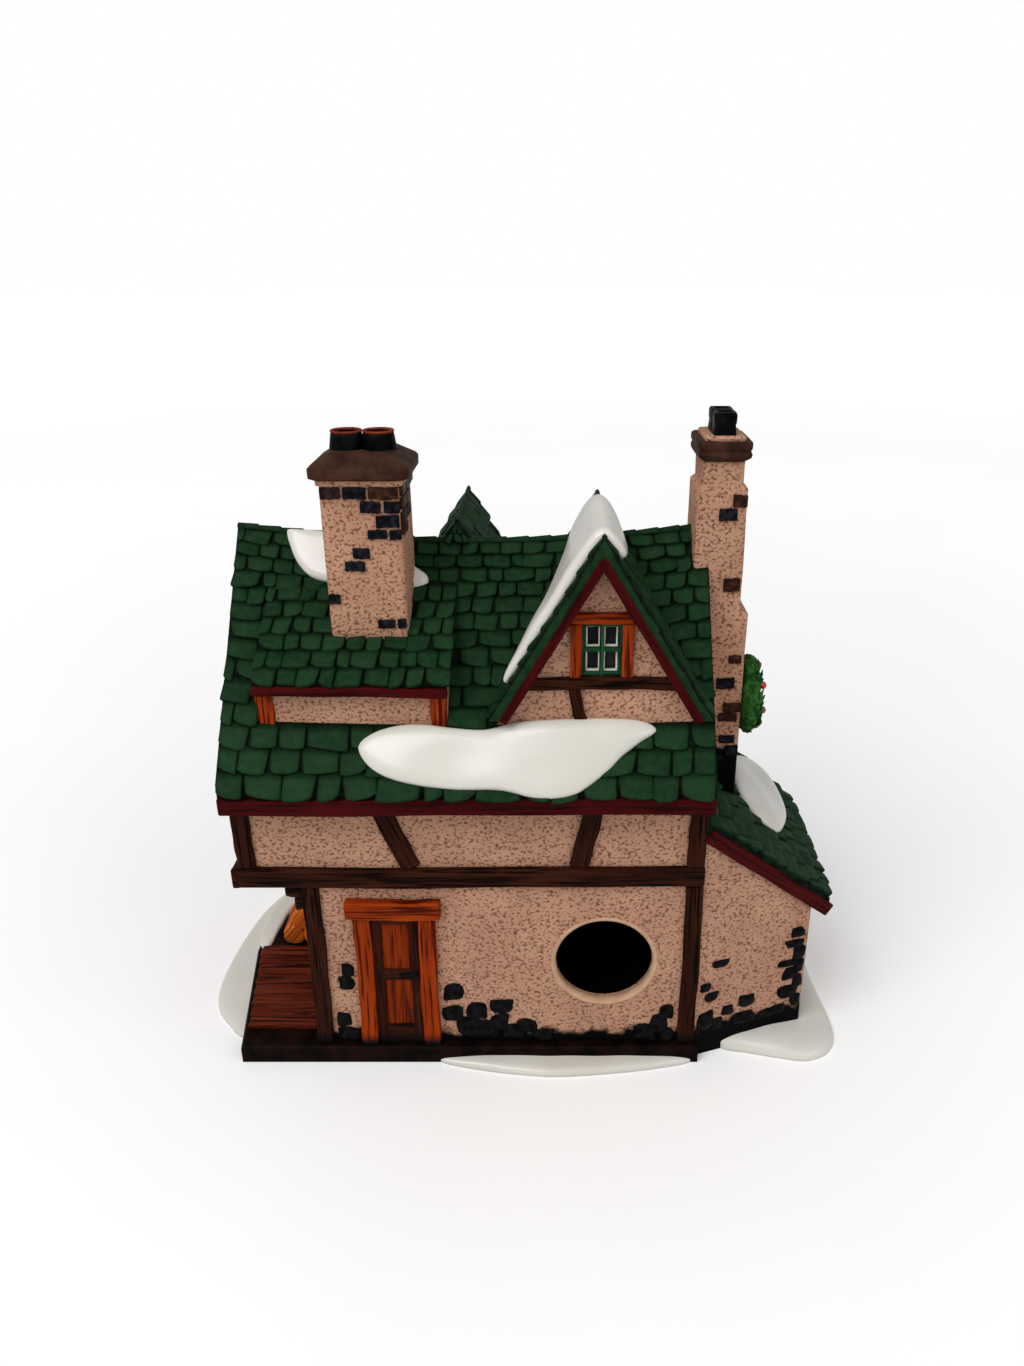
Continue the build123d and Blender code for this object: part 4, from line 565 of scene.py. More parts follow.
def saddle(path, across, pitch, leg=1.7, thick=1.1, tile=7.0):
    """A closed ring carried along a path: two legs that fall with the roof, rounded where they meet, swelling
    by a saw-tooth of the way along."""
    reach = REACH * leg
    fall = np.sqrt((reach * math.sin(pitch)) ** 2 + CROWN) - math.sqrt(CROWN)
    way = np.concatenate(([0], np.cumsum(np.linalg.norm(np.diff(path, axis=0), axis=1))))
    swell = (0.85 + 0.4 * ((way / tile) % 1.0))[:, None]
    ends = np.ones((len(path), 1))
    ends[[0, -1]] = 0.0
    rise = np.where(ends > 0, TOP * thick * swell - fall - 0.25, -0.3)
    points = path[:, None] + (reach * math.cos(pitch) * ends)[..., None] * across + rise[..., None] * UP
    # painted shade: dark along the saddle's foot, and darker at the low end of each tile
    painted_shade = np.where(TOP == 0, 0.8, np.clip(0.45 * (1.25 - swell) / 0.4, 0, 1))
    return many(points[None], stacked(painted_shade, 0.4, 0.0)[None])


def ridge_line(start, end):
    x = np.linspace(start, end, int((end - start) * 2))
    return stacked(x, RIDGE_Y, deck_height(x, RIDGE_Y) + RIDGE_PROUD)


def gable_line(centre, apex, start, end):
    y = np.linspace(start, end, int((end - start) * 2))
    return stacked(centre, y, apex + RIDGE_PROUD)


ridges = [saddle(ridge_line(*ends), TO_FRONT, ROOF_PITCH) for ends in ((-87.3, -19), (-16, 22), (32, 57))]
ridges += [saddle(gable_line(*gable, start, end), TO_RIGHT, GABLE_PITCH, leg=1.5)
           for gable, start, end in ((CROSS_GABLE, -49.0, 8.0), (FRONT_GABLE, -4.0, 44.3))]
piece("ridge_saddles", join(*ridges), "shingle_green", "roof_green", "ridge_tiles")

# %% [markdown]
# ## Hewn boards
#
# Beams, posts, casings, planks and bricks are all the same idea: a rounded block carried from one point to
# another, never quite straight. Its cross-section is a superellipse, which is a rectangle with soft corners,
# and the first and last few rings shrink along a quarter circle to round the ends.

# %% Board formula
RINGS, SIDES = 16, 22


def hewn(boards, seed, bow=0.22, corner=7.0, sink=0.4, soft=0.7):
    """Blocks from (start, end, way out, width, depth) rows. Around each: a superellipse of the half width and
    half depth. Along it: straight, plus two slow sine waves. The tag is the way along, across and a lot."""
    rng = np.random.default_rng(seed)
    start, end, out = (np.array([board[i] for board in boards], float) for i in range(3))
    width, depth = (np.array([board[i] for board in boards], float)[:, None] for i in (3, 4))
    count = len(boards)
    length = np.linalg.norm(end - start, axis=1)[:, None]
    axis = (end - start) / length
    side = np.cross(out, axis)
    quarter = np.linspace(0, np.pi / 2, 4)
    soft = np.minimum(soft, np.minimum(width, depth) * 0.45)
    near, inset = soft * (1 - np.cos(quarter)), soft * (1 - np.sin(quarter))
    middle = soft + (length - 2 * soft) * np.linspace(0.04, 0.96, RINGS)
    zero = np.zeros((count, 1))
    along = np.concatenate((zero, near, middle, (length - near)[:, ::-1], length), 1)
    shrink = np.concatenate((zero, inset, np.zeros((count, RINGS)), inset[:, ::-1], zero), 1)
    open_ends = np.ones(along.shape[1])
    open_ends[[0, -1]] = 0.0
    curve = superellipse(turns(SIDES), 2 / corner)
    lot = rng.uniform(0, 1, (6, count, 1))
    wave = [np.sin(2 * np.pi * (k * (along / length) + lot[i])) for i, k in enumerate((0.8, 2.3, 1.1, 3.1))]
    drift = bow * (wave[0] + 0.5 * wave[1]) * np.minimum(1, width / 4)
    swell = 0.4 * bow * wave[2] * np.minimum(1, depth / 3)
    half_width = (width / 2 * (1 + 0.02 * wave[3]) - shrink) * open_ends
    half_depth = ((depth + sink) / 2 + swell - shrink) * open_ends
    a = half_width[..., None] * curve[0] + drift[..., None]
    b = half_depth[..., None] * curve[1] + ((depth - sink) / 2)[..., None]
    points = (start[:, None, None] + along[..., None, None] * axis[:, None, None]
              + a[..., None] * side[:, None, None] + b[..., None] * out[:, None, None])
    return many(points, stacked((along + 400 * lot[4])[..., None], a + 0.8 * b, lot[5][..., None]))


def upright(face, along, low, high, width, depth, lean=0.0):
    """A board up a wall face, its foot moved along by its lean."""
    return at(face, along + lean, low), at(face, along, high), FACES[face][2], width, depth


def level(face, start, end, height, width, depth):
    """A board along a wall face."""
    return at(face, start, height), at(face, end, height), FACES[face][2], width, depth


def set_back(board, back):
    """A board moved back into its wall."""
    start, end, out, width, depth = board
    return start - back * out, end - back * out, out, width, depth


# %% Timber frame
LOWER, UPPER, BEAM_HEIGHT = (PLINTH_TOP, 70.0), (76.7, 103.3), 73.35
beams = [level(face, start, end, BEAM_HEIGHT, width=6.7, depth=2.2)
         for face, start, end in (("rear", -88.2, 60.4), ("front", -88.2, 60.4), ("jetty", -51.2, 43.2))]
posts = [upright(face, x, *storey, width=5.6, depth=1.6) for face in ("rear", "front")
         for x, storey in ((-64.2, LOWER), (57.6, LOWER), (-83.2, UPPER), (57.6, UPPER))]
braces = [upright(face, x, *UPPER, width=6.1, depth=1.6, lean=lean) for face in ("rear", "front")
          for x, lean in ((-42.8, 11.5), (26.2, -5.3))]
brackets = [((HOUSE_LEFT, y, z), (HOUSE_LEFT - reach, y, z), out, 5.0, 3.5)
            for y, out in ((-45.5, -TO_FRONT), (37.5, TO_FRONT)) for z, reach in ((67.4, 5.6), (62.5, 2.9))]
collar = [level("gable", 4.2, 49.8, 137.2, width=3.9, depth=1.3),
          upright("gable", 19.0, 122.0, 135.6, width=3.6, depth=1.3, lean=2.8)]
piece("hewn_beams", hewn(beams, 1, bow=0.3), "timber", "timber", "bressummer_beam")
piece("hewn_posts", hewn(posts, 2), "timber", "timber", "wall_posts")
piece("hewn_braces", hewn(braces, 3), "timber", "timber", "wall_braces")
piece("hewn_brackets", hewn(brackets, 4, sink=0.0), "timber", "timber", "jetty_brackets")
piece("gable_timbers", hewn(collar, 5), "timber", "timber", "cross_gable_timbers")

# %% Maroon boards
def barge_pair(centre, apex, tip, y, out, drop=6.8, mitre=1.1, width=2.7, depth=1.0):
    """Two boards that follow a gable's slopes, just below the shingles' edge, and cross at the peak."""
    top = apex - drop
    half = (top - tip) / GABLE_RISE
    past, over = mitre * math.cos(GABLE_PITCH), mitre * math.sin(GABLE_PITCH)
    return [((centre + side * half, y, tip), (centre - side * past, y, top + over), out, width, depth)
            for side in (-1, 1)]


lean_barge = (at("cant", 0, 88.4), at("cant", 45.0 / math.cos(CANT), 49.8), FACES["cant"][2], 4.6, 0.9)
barges = barge_pair(*CROSS_GABLE, 126.4, -48.2, -TO_FRONT) + barge_pair(*FRONT_GABLE, 120.6, 43.5, TO_FRONT)
barges.append(set_back(lean_barge, -1.0))  # proud of the wall, not back in it
eaves = [((ROOF_LEFT, y, 102.7), (ROOF_LEFT + ROOF_LENGTH, y, 102.7), out, 5.6, 1.5)
         for y, out in ((REAR_EAVE, -TO_FRONT), (FRONT_EAVE, TO_FRONT))]
eaves.append(((SHED_LEFT, SHED_EAVE, 136.0), (-18.2, SHED_EAVE, 135.0), -TO_FRONT, 3.0, 1.5))
piece("maroon_bargeboards", hewn(barges, 6, bow=0.12), "maroon", "maroon_boards", "bargeboards")
piece("maroon_fascias", hewn(eaves, 7, bow=0.25), "maroon", "maroon_boards", "fascias")

# %% [markdown]
# ## Windows and doors
#
# Each window has an orange casing of boards on the wall and a green sash set back in it. The clay shows pale
# round the four panes, and a dark film behind them closes the house: painted shade for the dark hollow inside.

# %% Windows
HALF_OPENING, OPENING, CASING = 5.95, 16.9, 3.3
LOW_SILL, HIGH_SILL = 26.55, 80.0
WINDOWS = [("gable", 27.0, 139.2), ("front_gable", -17.6, 129.45)]
WINDOWS += [("left", -4.0, LOW_SILL), ("lean_to", -4.0, 18.75)]
WINDOWS += [("front", x, LOW_SILL) for x in (-50.44, 13.26, 40.02)]
WINDOWS += [("front", x, HIGH_SILL) for x in (-69.9, -17.2, 41.37)]
WINDOWS += [("jetty", y, HIGH_SILL) for y in (-26.5, 18.5)]


def casing_boards(face, middle, sill):
    """Jambs, head and, where no beam serves, a sill."""
    jamb, reach = HALF_OPENING + CASING / 2, HALF_OPENING + CASING
    boards = [upright(face, middle + x, sill, sill + OPENING, CASING, depth=1.6) for x in (-jamb, jamb)]
    rails = [(sill + OPENING + CASING / 2, 1.8), (sill - CASING / 2, 1.9)]
    if face == "gable":
        rails.pop()
    return boards + [level(face, middle - reach, middle + reach, z, CASING, depth) for z, depth in rails]


def sash_bars(face, middle, sill, back, depth, width, side, edge):
    """Three upright and three level bars that start behind the wall face."""
    boards = [upright(face, middle + x, sill, sill + OPENING, width, depth) for x in (-side, 0, side)]
    boards += [level(face, middle - HALF_OPENING, middle + HALF_OPENING, sill + z, width, depth)
               for z in (edge, OPENING / 2, OPENING - edge)]
    return [set_back(board, back) for board in boards]


casings = [board for window in WINDOWS for board in casing_boards(*window)]
sashes, linings = (
    [bar for window in WINDOWS for bar in sash_bars(*window, back, depth, width, side, edge)]
    for back, depth, width, side, edge in ((2.0, 1.9, 1.35, 5.3, 0.7), (2.5, 1.3, 2.0, 5.2, 0.8)))
# painted shade: a dark film set back behind each window stands for the unlit hollow inside the house
shade_films = [set_back(upright(*window, window[2] + OPENING, width=11.8, depth=0.4), 3.2) for window in WINDOWS]
piece("orange_casings", hewn(casings, 8, bow=0.15), "orange_wood", "orange_wood", "window_casings")
piece("green_sashes", hewn(sashes, 9, bow=0.06, sink=0.0, soft=0.4), "sash_green", "sash", "window_sashes")
piece("pane_linings", hewn(linings, 10, bow=0.04, sink=0.0, soft=0.3), "pane_pale", "sash")
piece("window_shade_films", hewn(shade_films, 11, bow=0.0, sink=0.0, soft=0.1), "interior_shade_dark", "sash")

# %% Lamp hole rim
LAMP_X, LAMP_Z = 29.5, 39.7


def turned(profile, count):
    """A profile of radius and height turned about an axis: two ways across it and the height."""
    radius, height = np.array(profile, float).T[..., None]
    return radius * np.cos(turns(count)), radius * np.sin(turns(count)), height


lip = [
    (17.6, -48.8), (17.5, -49.12), (17.0, -49.25), (16.4, -49.1), (16.0, -48.6), (15.8, -46.3), (16.1, -46.2),
]
across, up, depth = turned(lip, 96)
rim = many(stacked(LAMP_X + across, depth, LAMP_Z + up)[None])
piece("lamp_hole_rim", rim, "smooth_clay", "stucco")

# %% Doors
def door(face, middle):
    """Frame boards, leaf boards, panels and a latch of one door."""
    jambs = [upright(face, middle + side * 10.4, PLINTH_TOP, 58.4, width=5.6, depth=2.4) for side in (-1, 1)]
    lintel = level(face, middle - 15.25, middle + 15.25, 61.45, width=6.5, depth=3.4)
    stiles = [upright(face, middle + side * 6.0, PLINTH_TOP, 58.2, width=3.2, depth=1.4) for side in (-1, 1)]
    rails = [level(face, middle - 7.6, middle + 7.6, z, width, depth=1.35)
             for z, width in ((10.6, 8.4), (35.4, 4.2), (56.8, 2.8))]
    panels = [upright(face, middle, *ends, width=9.4, depth=0.7) for ends in ((14.4, 33.6), (37.2, 55.7))]
    latch = [level(face, middle + 0.8, middle + 7.0, 35.6, width=1.5, depth=2.3),
             upright(face, middle + 5.6, 34.0, 37.2, width=2.0, depth=2.0)]
    return jambs + [lintel], stiles + rails, panels, latch


rear, front = door("rear", -38.4), door("front", -12.86)
panels, latches = hewn(rear[2] + front[2], 16, bow=0.1), hewn(rear[3] + front[3], 17, bow=0.05, soft=0.4)
dormer_posts = [upright("shed", x, 118.0, 134.9, width=5.0, depth=0.9) for x in (-73.2, -21.2)]
piece("rear_door_boards", hewn(rear[0], 12), "orange_wood", "orange_wood", "rear_door_frame")
piece("front_door_boards", hewn(front[0], 13), "orange_wood", "orange_wood", "front_door_frame")
piece("rear_door_leaf", hewn(rear[1], 14, bow=0.1), "dark_wood", "door", "rear_door")
piece("front_door_leaf", hewn(front[1], 15, bow=0.1), "dark_wood", "door", "front_door")
piece("door_panels", panels, "panel_wood", "door")
piece("black_latches", latches, "pot_black", "latch", "door_latches")
piece("dormer_posts", hewn(dormer_posts, 18), "orange_wood", "orange_wood", "shed_dormer_posts")

# %% [markdown]
# ## Chimneys
#
# A stack is a soft-cornered tower: a rounded rectangle carried upwards, with a table of heights, middles and
# half sizes for its bands and shoulders. Bricks that the stucco leaves bare are short boards.

# %% Stack formula
LEFT_STACK, RIGHT_STACK, SHAFT = (-42.35, -21.25), (64.4, -3.0), (67.8, -3.0)


def tower(levels, seed, uneven=0.16, corner=9.0, steps=5):
    """A rounded rectangle carried up through (height, middle x, middle y, half x, half y) rows, closed at
    both ends, and moved a little by a smooth ripple."""
    levels = np.array(levels, float)
    knots = np.arange(len(levels))
    way = np.linspace(0, len(levels) - 1, (len(levels) - 1) * steps + 1)
    z, x, y, half_x, half_y = (np.interp(way, knots, column)[:, None] for column in levels.T)
    around = superellipse(turns(48), 2 / corner)
    points = stacked(x + half_x * around[0], y + half_y * around[1], z)
    sideways = ripple(points, 14.0, seed) * uneven
    points = points + stacked(sideways, np.roll(sideways, 7, axis=1), 0.0)
    ends = points[[0, -1]].mean(1, keepdims=True) + 0 * points[[0, -1]]
    return many(np.concatenate((ends[:1], points, ends[1:]))[None])


def bands(middle, *rows):
    """Rows of a tower about one middle, from a height and one half size, or two, each."""
    return [(z, *middle, halves[0], halves[-1]) for z, *halves in rows]


left_levels = bands(LEFT_STACK, (140, 11.75), (192.9, 11.75), (193.4, 12.6), (195.0, 12.75), (195.6, 12.4))
right_levels = bands(SHAFT, (80, 7.4, 10), (147.2, 7.4, 10)) + bands(
    RIGHT_STACK, (148.6, 8.0, 10), (187.6, 8.0, 10), (188.9, 6.45, 9.6), (196.2, 6.45, 9.6))
piece("left_stack", tower(left_levels, 61, corner=14.0), "chimney_stucco", "stucco", "left_chimney_stack")
piece("right_stack", tower(right_levels, 62, corner=14.0), "shaft_stucco", "stucco", "right_chimney_stack")

# %% Caps and pots
left_cap_levels = bands(
    LEFT_STACK, (194.9, 13.4), (195.5, 14.5), (197.9, 14.6), (198.7, 13.9), (201.6, 9.3), (201.9, 8.4))
right_cap_levels = bands(
    RIGHT_STACK, (196.0, 6.5, 9.7), (197.3, 8.2, 11.6), (198.2, 8.4, 11.9), (199.4, 7.9, 11.4),
    (200.0, 8.3, 11.8), (201.6, 8.3, 11.8), (202.1, 7.8, 11.3))
slab_levels = bands(RIGHT_STACK, (202.0, 6.3, 9.6), (203.0, 6.4, 9.8), (203.4, 6.0, 9.4))
piece("left_cap", tower(left_cap_levels, 63, 0.22), "cap_brown", "chimney_cap", "left_chimney_cap")
piece("right_cap", tower(right_cap_levels, 64, 0.14), "cap_brown", "chimney_cap", "right_chimney_cap")
piece("right_slab", tower(slab_levels, 65, 0.1), "chimney_stucco", "stucco")


def lathe(profile):
    """Two round pots side by side, each a profile turned about its upright axis."""
    across, ahead, z = turned(profile, 40)
    return many(np.stack([stacked(x + across, LEFT_STACK[1] + ahead, z) for x in (-47.0, -37.7)]))


def square_pot(y):
    """A square tube: up the outside, over the lip and down inside."""
    levels = bands((RIGHT_STACK[0], y), (203.2, 3.4), (204.0, 3.45), (206.6, 3.2), (207.0, 3.4),
                   (209.4, 3.45), (210.1, 3.1), (210.1, 2.2), (208.0, 2.0))
    return tower(levels, 66, 0.08, steps=2)


pot_profile = [
    (0, 201.4), (5.1, 201.4), (5.15, 202.0), (4.85, 204.0), (4.6, 205.6), (4.45, 206.6), (3.7, 206.6),
    (3.5, 203.5), (0, 203.4),
]
rim_profile = [
    (3.6, 206.5), (3.7, 206.9), (4.1, 207.15), (4.5, 207.1), (4.65, 206.85), (4.5, 206.5), (4.0, 206.4),
    (3.6, 206.5),
]
square_pots = join(square_pot(-6.85), square_pot(0.85))
piece("round_pots", lathe(pot_profile), "pot_black", "chimney_pot", "left_chimney_pots")
piece("pot_rims", lathe(rim_profile), "rim_rust", "chimney_pot")
piece("square_pots", square_pots, "pot_black", "chimney_pot", "right_chimney_pots")

# %% Bared bricks
# Rows are the left and right ends and the foot and head of a brick, in thousandths of its face. A face is its
# y, its left end, its width and the heights of its foot and head. The right stack widens above its shoulder.
BRICK_PROUD, SHOULDER = 0.7, 0.566
LEFT_FACE = (-33.0, -54.1, 23.5, 148.3, 193.1)
SHAFT_FACE, STACK_FACE = (-13.0, 61.4, 13.8, 94.5, 189.0), (-13.0, 56.4, 16.0, 94.5, 189.0)
LEFT_BRICKS = np.array((
    (20, 270, 920, 995), (300, 580, 920, 995), (610, 970, 920, 995), (500, 750, 830, 905),
    (790, 985, 830, 905), (680, 970, 735, 815), (570, 810, 660, 720), (840, 985, 655, 720),
    (370, 580, 530, 600), (260, 510, 445, 510), (20, 170, 220, 285), (620, 840, 50, 110), (870, 985, 50, 115),
)) / 1000
RIGHT_BRICKS = np.array((
    (700, 980, 930, 970), (450, 800, 885, 925), (620, 950, 645, 690), (600, 900, 385, 415),
    (350, 780, 290, 330), (550, 970, 200, 235), (450, 900, 165, 195), (500, 880, 80, 110), (660, 980, 30, 70),
    (40, 440, 45, 75), (300, 620, 0, 35), (20, 260, 0, 40), (50, 400, 120, 145),
)) / 1000
SIDE_BRICKS = ((0, 192), (1, 192), (2, 192), (0, 188), (1, 188), (0, 184), (1, 184), (0, 180.5))


def rear_brick(left, right, low, high, y, start, width, foot, head):
    """A brick on a face that looks to the rear."""
    z = foot + (low + high) / 2 * (head - foot)
    tall = (high - low) * (head - foot)
    return (start + left * width, y, z), (start + right * width, y, z), -TO_FRONT, tall, BRICK_PROUD


bricks = [rear_brick(*row, *LEFT_FACE) for row in LEFT_BRICKS]
bricks += [((-30.6, -32.6 + 7.6 * i, z), (-30.6, -25.6 + 7.6 * i, z), TO_RIGHT, 3.4, BRICK_PROUD)
           for i, z in SIDE_BRICKS]
bricks += [rear_brick(*row, *(STACK_FACE if row[3] > SHOULDER else SHAFT_FACE)) for row in RIGHT_BRICKS]
piece("bared_bricks", hewn(bricks, 19, bow=0.12, soft=0.5), "brick", "dark_brick", "chimney_bricks")

# %% [markdown]
# ## Stones
#
# Black stones show at the foot of the walls. Each is a low dome with an uneven outline: rings of points that
# rise with the root of one less the fourth power of the radius, closed underneath inside the wall.

# %% Stone formula
# Rows are the middle of a stone along and up its wall and its half sizes, in thousandths of the wall.
REAR_STONES = np.array((
    (72, 150, 18, 50), (84, 55, 30, 45), (94, 470, 18, 40), (88, 390, 22, 40), (362, 190, 26, 55),
    (365, 330, 26, 55), (400, 100, 30, 70), (425, 205, 26, 60), (450, 85, 36, 60), (485, 135, 24, 55),
    (490, 240, 34, 42), (520, 70, 30, 50), (555, 105, 26, 50), (870, 60, 32, 55), (905, 120, 26, 60),
    (925, 200, 18, 50), (925, 50, 22, 50), (600, 45, 30, 40),
)) / 1000
CANT_STONES = np.array((
    (80, 520, 50, 30), (140, 440, 60, 34), (200, 680, 70, 28), (100, 260, 70, 75), (300, 300, 60, 35),
    (470, 340, 70, 50), (460, 210, 110, 45), (680, 200, 100, 30), (860, 330, 90, 55), (870, 470, 80, 45),
    (930, 620, 60, 55), (900, 780, 60, 40), (940, 400, 50, 50), (840, 555, 100, 25), (940, 250, 50, 50),
    (880, 700, 90, 28), (940, 520, 50, 50), (780, 210, 70, 30), (200, 220, 60, 40),
)) / 1000
STONE_RING = np.array([0, 0.5, 0.8, 0.95, 1.0, 0.9, 0])
STONE_TOP = np.array([1.0, 0.97, 0.77, 0.43, 0.0, -0.5, -0.5])


def domes(face, stones, start, length, foot, height, seed, proud=0.9):
    """Stones by their middles and half sizes as shares of a wall's length and height."""
    rng = np.random.default_rng(seed)
    along, up, half, rise = (stones * (length, height, length, height)).T[..., None, None]
    turn = turns(16)
    lot = rng.uniform(0, 2 * np.pi, (3, len(stones), 1))
    waves = ((0.09, 2), (0.07, 3), (0.05, 5))
    outline = 1 + sum(size * np.sin(count * turn + lot[i]) for i, (size, count) in enumerate(waves))
    box = superellipse(turn, 0.55)
    a = along + half * STONE_RING[:, None] * (outline * box[0])[:, None]
    b = up + rise * STONE_RING[:, None] * (outline * box[1])[:, None]
    origin, way, out = FACES[face]
    out_by = (STONE_TOP * proud)[:, None, None] * out
    return many(origin + (start + a)[..., None] * way + (foot + b)[..., None] * UP + out_by)


stones = join(domes("rear", REAR_STONES, HOUSE_LEFT, length=127.4, foot=PLINTH_TOP, height=63.6, seed=71),
              domes("cant", CANT_STONES, 0, length=41.34, foot=0, height=54.4, seed=72))
piece("foot_stones", stones, "stone", "dark_brick", "wall_stones")

# %% [markdown]
# ## Boardwalk, firewood and wreath
#
# Planks and logs are hewn boards again, logs with a round cross-section. The wreath is a soft ring set with
# leaves: each leaf is a flat spindle, turned about the ring by a steady angle and a seeded lot.

# %% Boardwalk and logs
LOG, PLANK_PITCH = 8.0, 5.5
planks = []
for rear_edge in -43.0 + PLANK_PITCH * np.arange(8):
    y, flare = rear_edge + 2.6, 8 * (rear_edge + 52) / 52
    planks.append(((-91.6 - flare, y, PLINTH_TOP), (-67.3, y, PLINTH_TOP), UP, 5.2, 1.6))
logs = []
for row in range(3):
    for i in range(3 - row):
        x, z = -67.8 - (2 * i + row + 1) * LOG / 2, 6.3 + row * 6.9
        logs.append(((x, 3.6, z), (x, 26.4, z), UP, LOG, LOG))
split_logs = hewn(logs, 21, bow=0.25, corner=2.5, sink=0.0, soft=0.5)
piece("boardwalk_planks", hewn(planks, 20, bow=0.3), "deck_wood", "boardwalk", "boardwalk")
piece("split_logs", split_logs, "log_bark", "firewood", "firewood")

# %% Wreath
WREATH, WREATH_RADIUS = np.array((78.3, -3.0, 115.7)), 9.8


def spokes(turn):
    """Ways out from the middle of the wreath, which stands about the X axis."""
    return stacked(0.0, np.sin(turn), np.cos(turn))


def wreath_leaves(count, seed):
    """Leaves round the ring: each a spindle of six sides, laid along the ring and tipped outwards."""
    rng = np.random.default_rng(seed)
    turn = turns(count)
    roll = rng.uniform(-0.35 * np.pi, 1.35 * np.pi, count)[:, None]
    radial, ahead = spokes(turn), spokes(turn + np.pi / 2)
    out = np.sin(roll) * TO_RIGHT + np.cos(roll) * radial
    centre = WREATH + 0.6 * TO_RIGHT + WREATH_RADIUS * radial + 2.9 * out
    axis = unit(ahead + rng.uniform(-0.7, 0.7, (count, 1)) * np.cross(out, ahead) + 0.45 * out)
    side = unit(np.cross(axis, out))
    flat = np.cross(side, axis)
    station = np.array([-1, -0.55, 0, 0.55, 1.0])[:, None, None]
    girth = np.array([0, 0.8, 1, 0.7, 0.0])[:, None]
    size = rng.uniform(1.7, 2.3, (count, 1, 1, 1))
    points = (centre[:, None, None] + size * station * axis[:, None, None]
              + 0.5 * size * (girth * np.cos(turns(6)))[..., None] * side[:, None, None]
              + 0.17 * size * (girth * np.sin(turns(6)))[..., None] * flat[:, None, None])
    return many(points)


def wreath_core():
    """A ring of tube radius 3."""
    turn, spin = np.linspace(0, 2 * np.pi, 49)[:, None], turns(14)
    reach = WREATH_RADIUS + 3.0 * np.cos(spin)
    return many((WREATH + stacked(2.9 * np.sin(spin), reach * np.sin(turn), reach * np.cos(turn)))[None])


def berries(degrees, radius):
    """Small balls with a dimple, set on the front of the ring."""
    centre = WREATH + 3.8 * TO_RIGHT + WREATH_RADIUS * spokes(np.radians(degrees))
    down, spin = np.linspace(0, np.pi, 9)[:, None], turns(14)
    bulge = radius * (1 - 0.18 * np.exp(-(down / 0.3) ** 2))
    girth = bulge * np.sin(down)
    ball = stacked(bulge * np.cos(down), girth * np.cos(spin), girth * np.sin(spin))
    return many(centre[:, None, None] + ball)


piece("wreath_leaves", join(wreath_core(), wreath_leaves(330, 81)), "leaf_green", "wreath", "wreath")
red = berries((15, 75, 110, 160, 215, 260, 310), radius=1.3)
piece("red_berries", red, "berry_red", "berries", "wreath_berries")

# %% [markdown]
# ## Snow
#
# Snow is a glossy blanket with a rolled edge. In plan it is a smooth closed outline about a middle; on a line
# from the middle to the outline the snow keeps its depth almost to the edge, then rolls down to the shingles.
# It is laid on the roof's surface and pushed out along the normal there.

# %% Snow formula
def smooth_outline(points, count):
    """A closed curve through points: each step blends four of them with the Catmull-Rom weights."""
    points = np.array(points, float)
    way = np.arange(count) / count * len(points)
    first = way.astype(int)
    t = (way - first)[:, None]
    p = [points[(first + k) % len(points)] for k in (-1, 0, 1, 2)]
    return 0.5 * (2 * p[1] + (p[2] - p[0]) * t + (2 * p[0] - 5 * p[1] + 4 * p[2] - p[3]) * t ** 2
                  + (3 * p[1] - p[0] - 3 * p[2] + p[3]) * t ** 3)


def blanket(outline, middle, lay, depth, seed, base, edge=6.0):
    """Snow on a surface, which lay gives with its normal. Out from the middle the depth falls as the root of
    one less a high power of the share of the way, with a ripple."""
    roll = 1 - 0.14 * (1 - np.sin(np.linspace(0.12, 1, 9) * np.pi / 2))
    share = np.concatenate((np.linspace(0, 0.86, 22), roll, [1.0, 0.9]))
    plan = np.array(middle) + share[:, None, None] * (smooth_outline(outline, 160) - np.array(middle))
    surface, normal = lay(plan[..., 0], plan[..., 1])
    fall = np.sqrt(np.clip(1 - share ** edge, 0, 1))
    height = base + depth * fall[:, None] * (1 + 0.13 * ripple(surface, 22.0, seed))
    height[-2:] = base - 0.9
    return many((surface + height[..., None] * normal)[None])


def on_rear_slope(x, y):
    return stacked(x, y, deck_height(x, y)), np.array((0, -math.sin(ROOF_PITCH), math.cos(ROOF_PITCH)))


def on_lean_to(x, y):
    height = 93 - (x - HOUSE_RIGHT) * math.tan(LEAN_PITCH)
    return stacked(x, y, height), np.array((math.sin(LEAN_PITCH), 0, math.cos(LEAN_PITCH)))


def on_cross_gable(x, y):
    """Both slopes with the ridge between them rounded; the normal swings over with it."""
    centre, apex = CROSS_GABLE
    q = (x - centre) / 2.0
    aside = q / np.sqrt(1 + q ** 2) * math.sin(GABLE_PITCH)
    height = apex - GABLE_RISE * (np.sqrt((x - centre) ** 2 + 1.2) - 0.6)
    return stacked(x, y, height), stacked(aside, 0.0, np.sqrt(1 - aside ** 2))


def on_ground(x, y):
    return stacked(x, y, 0.0), UP


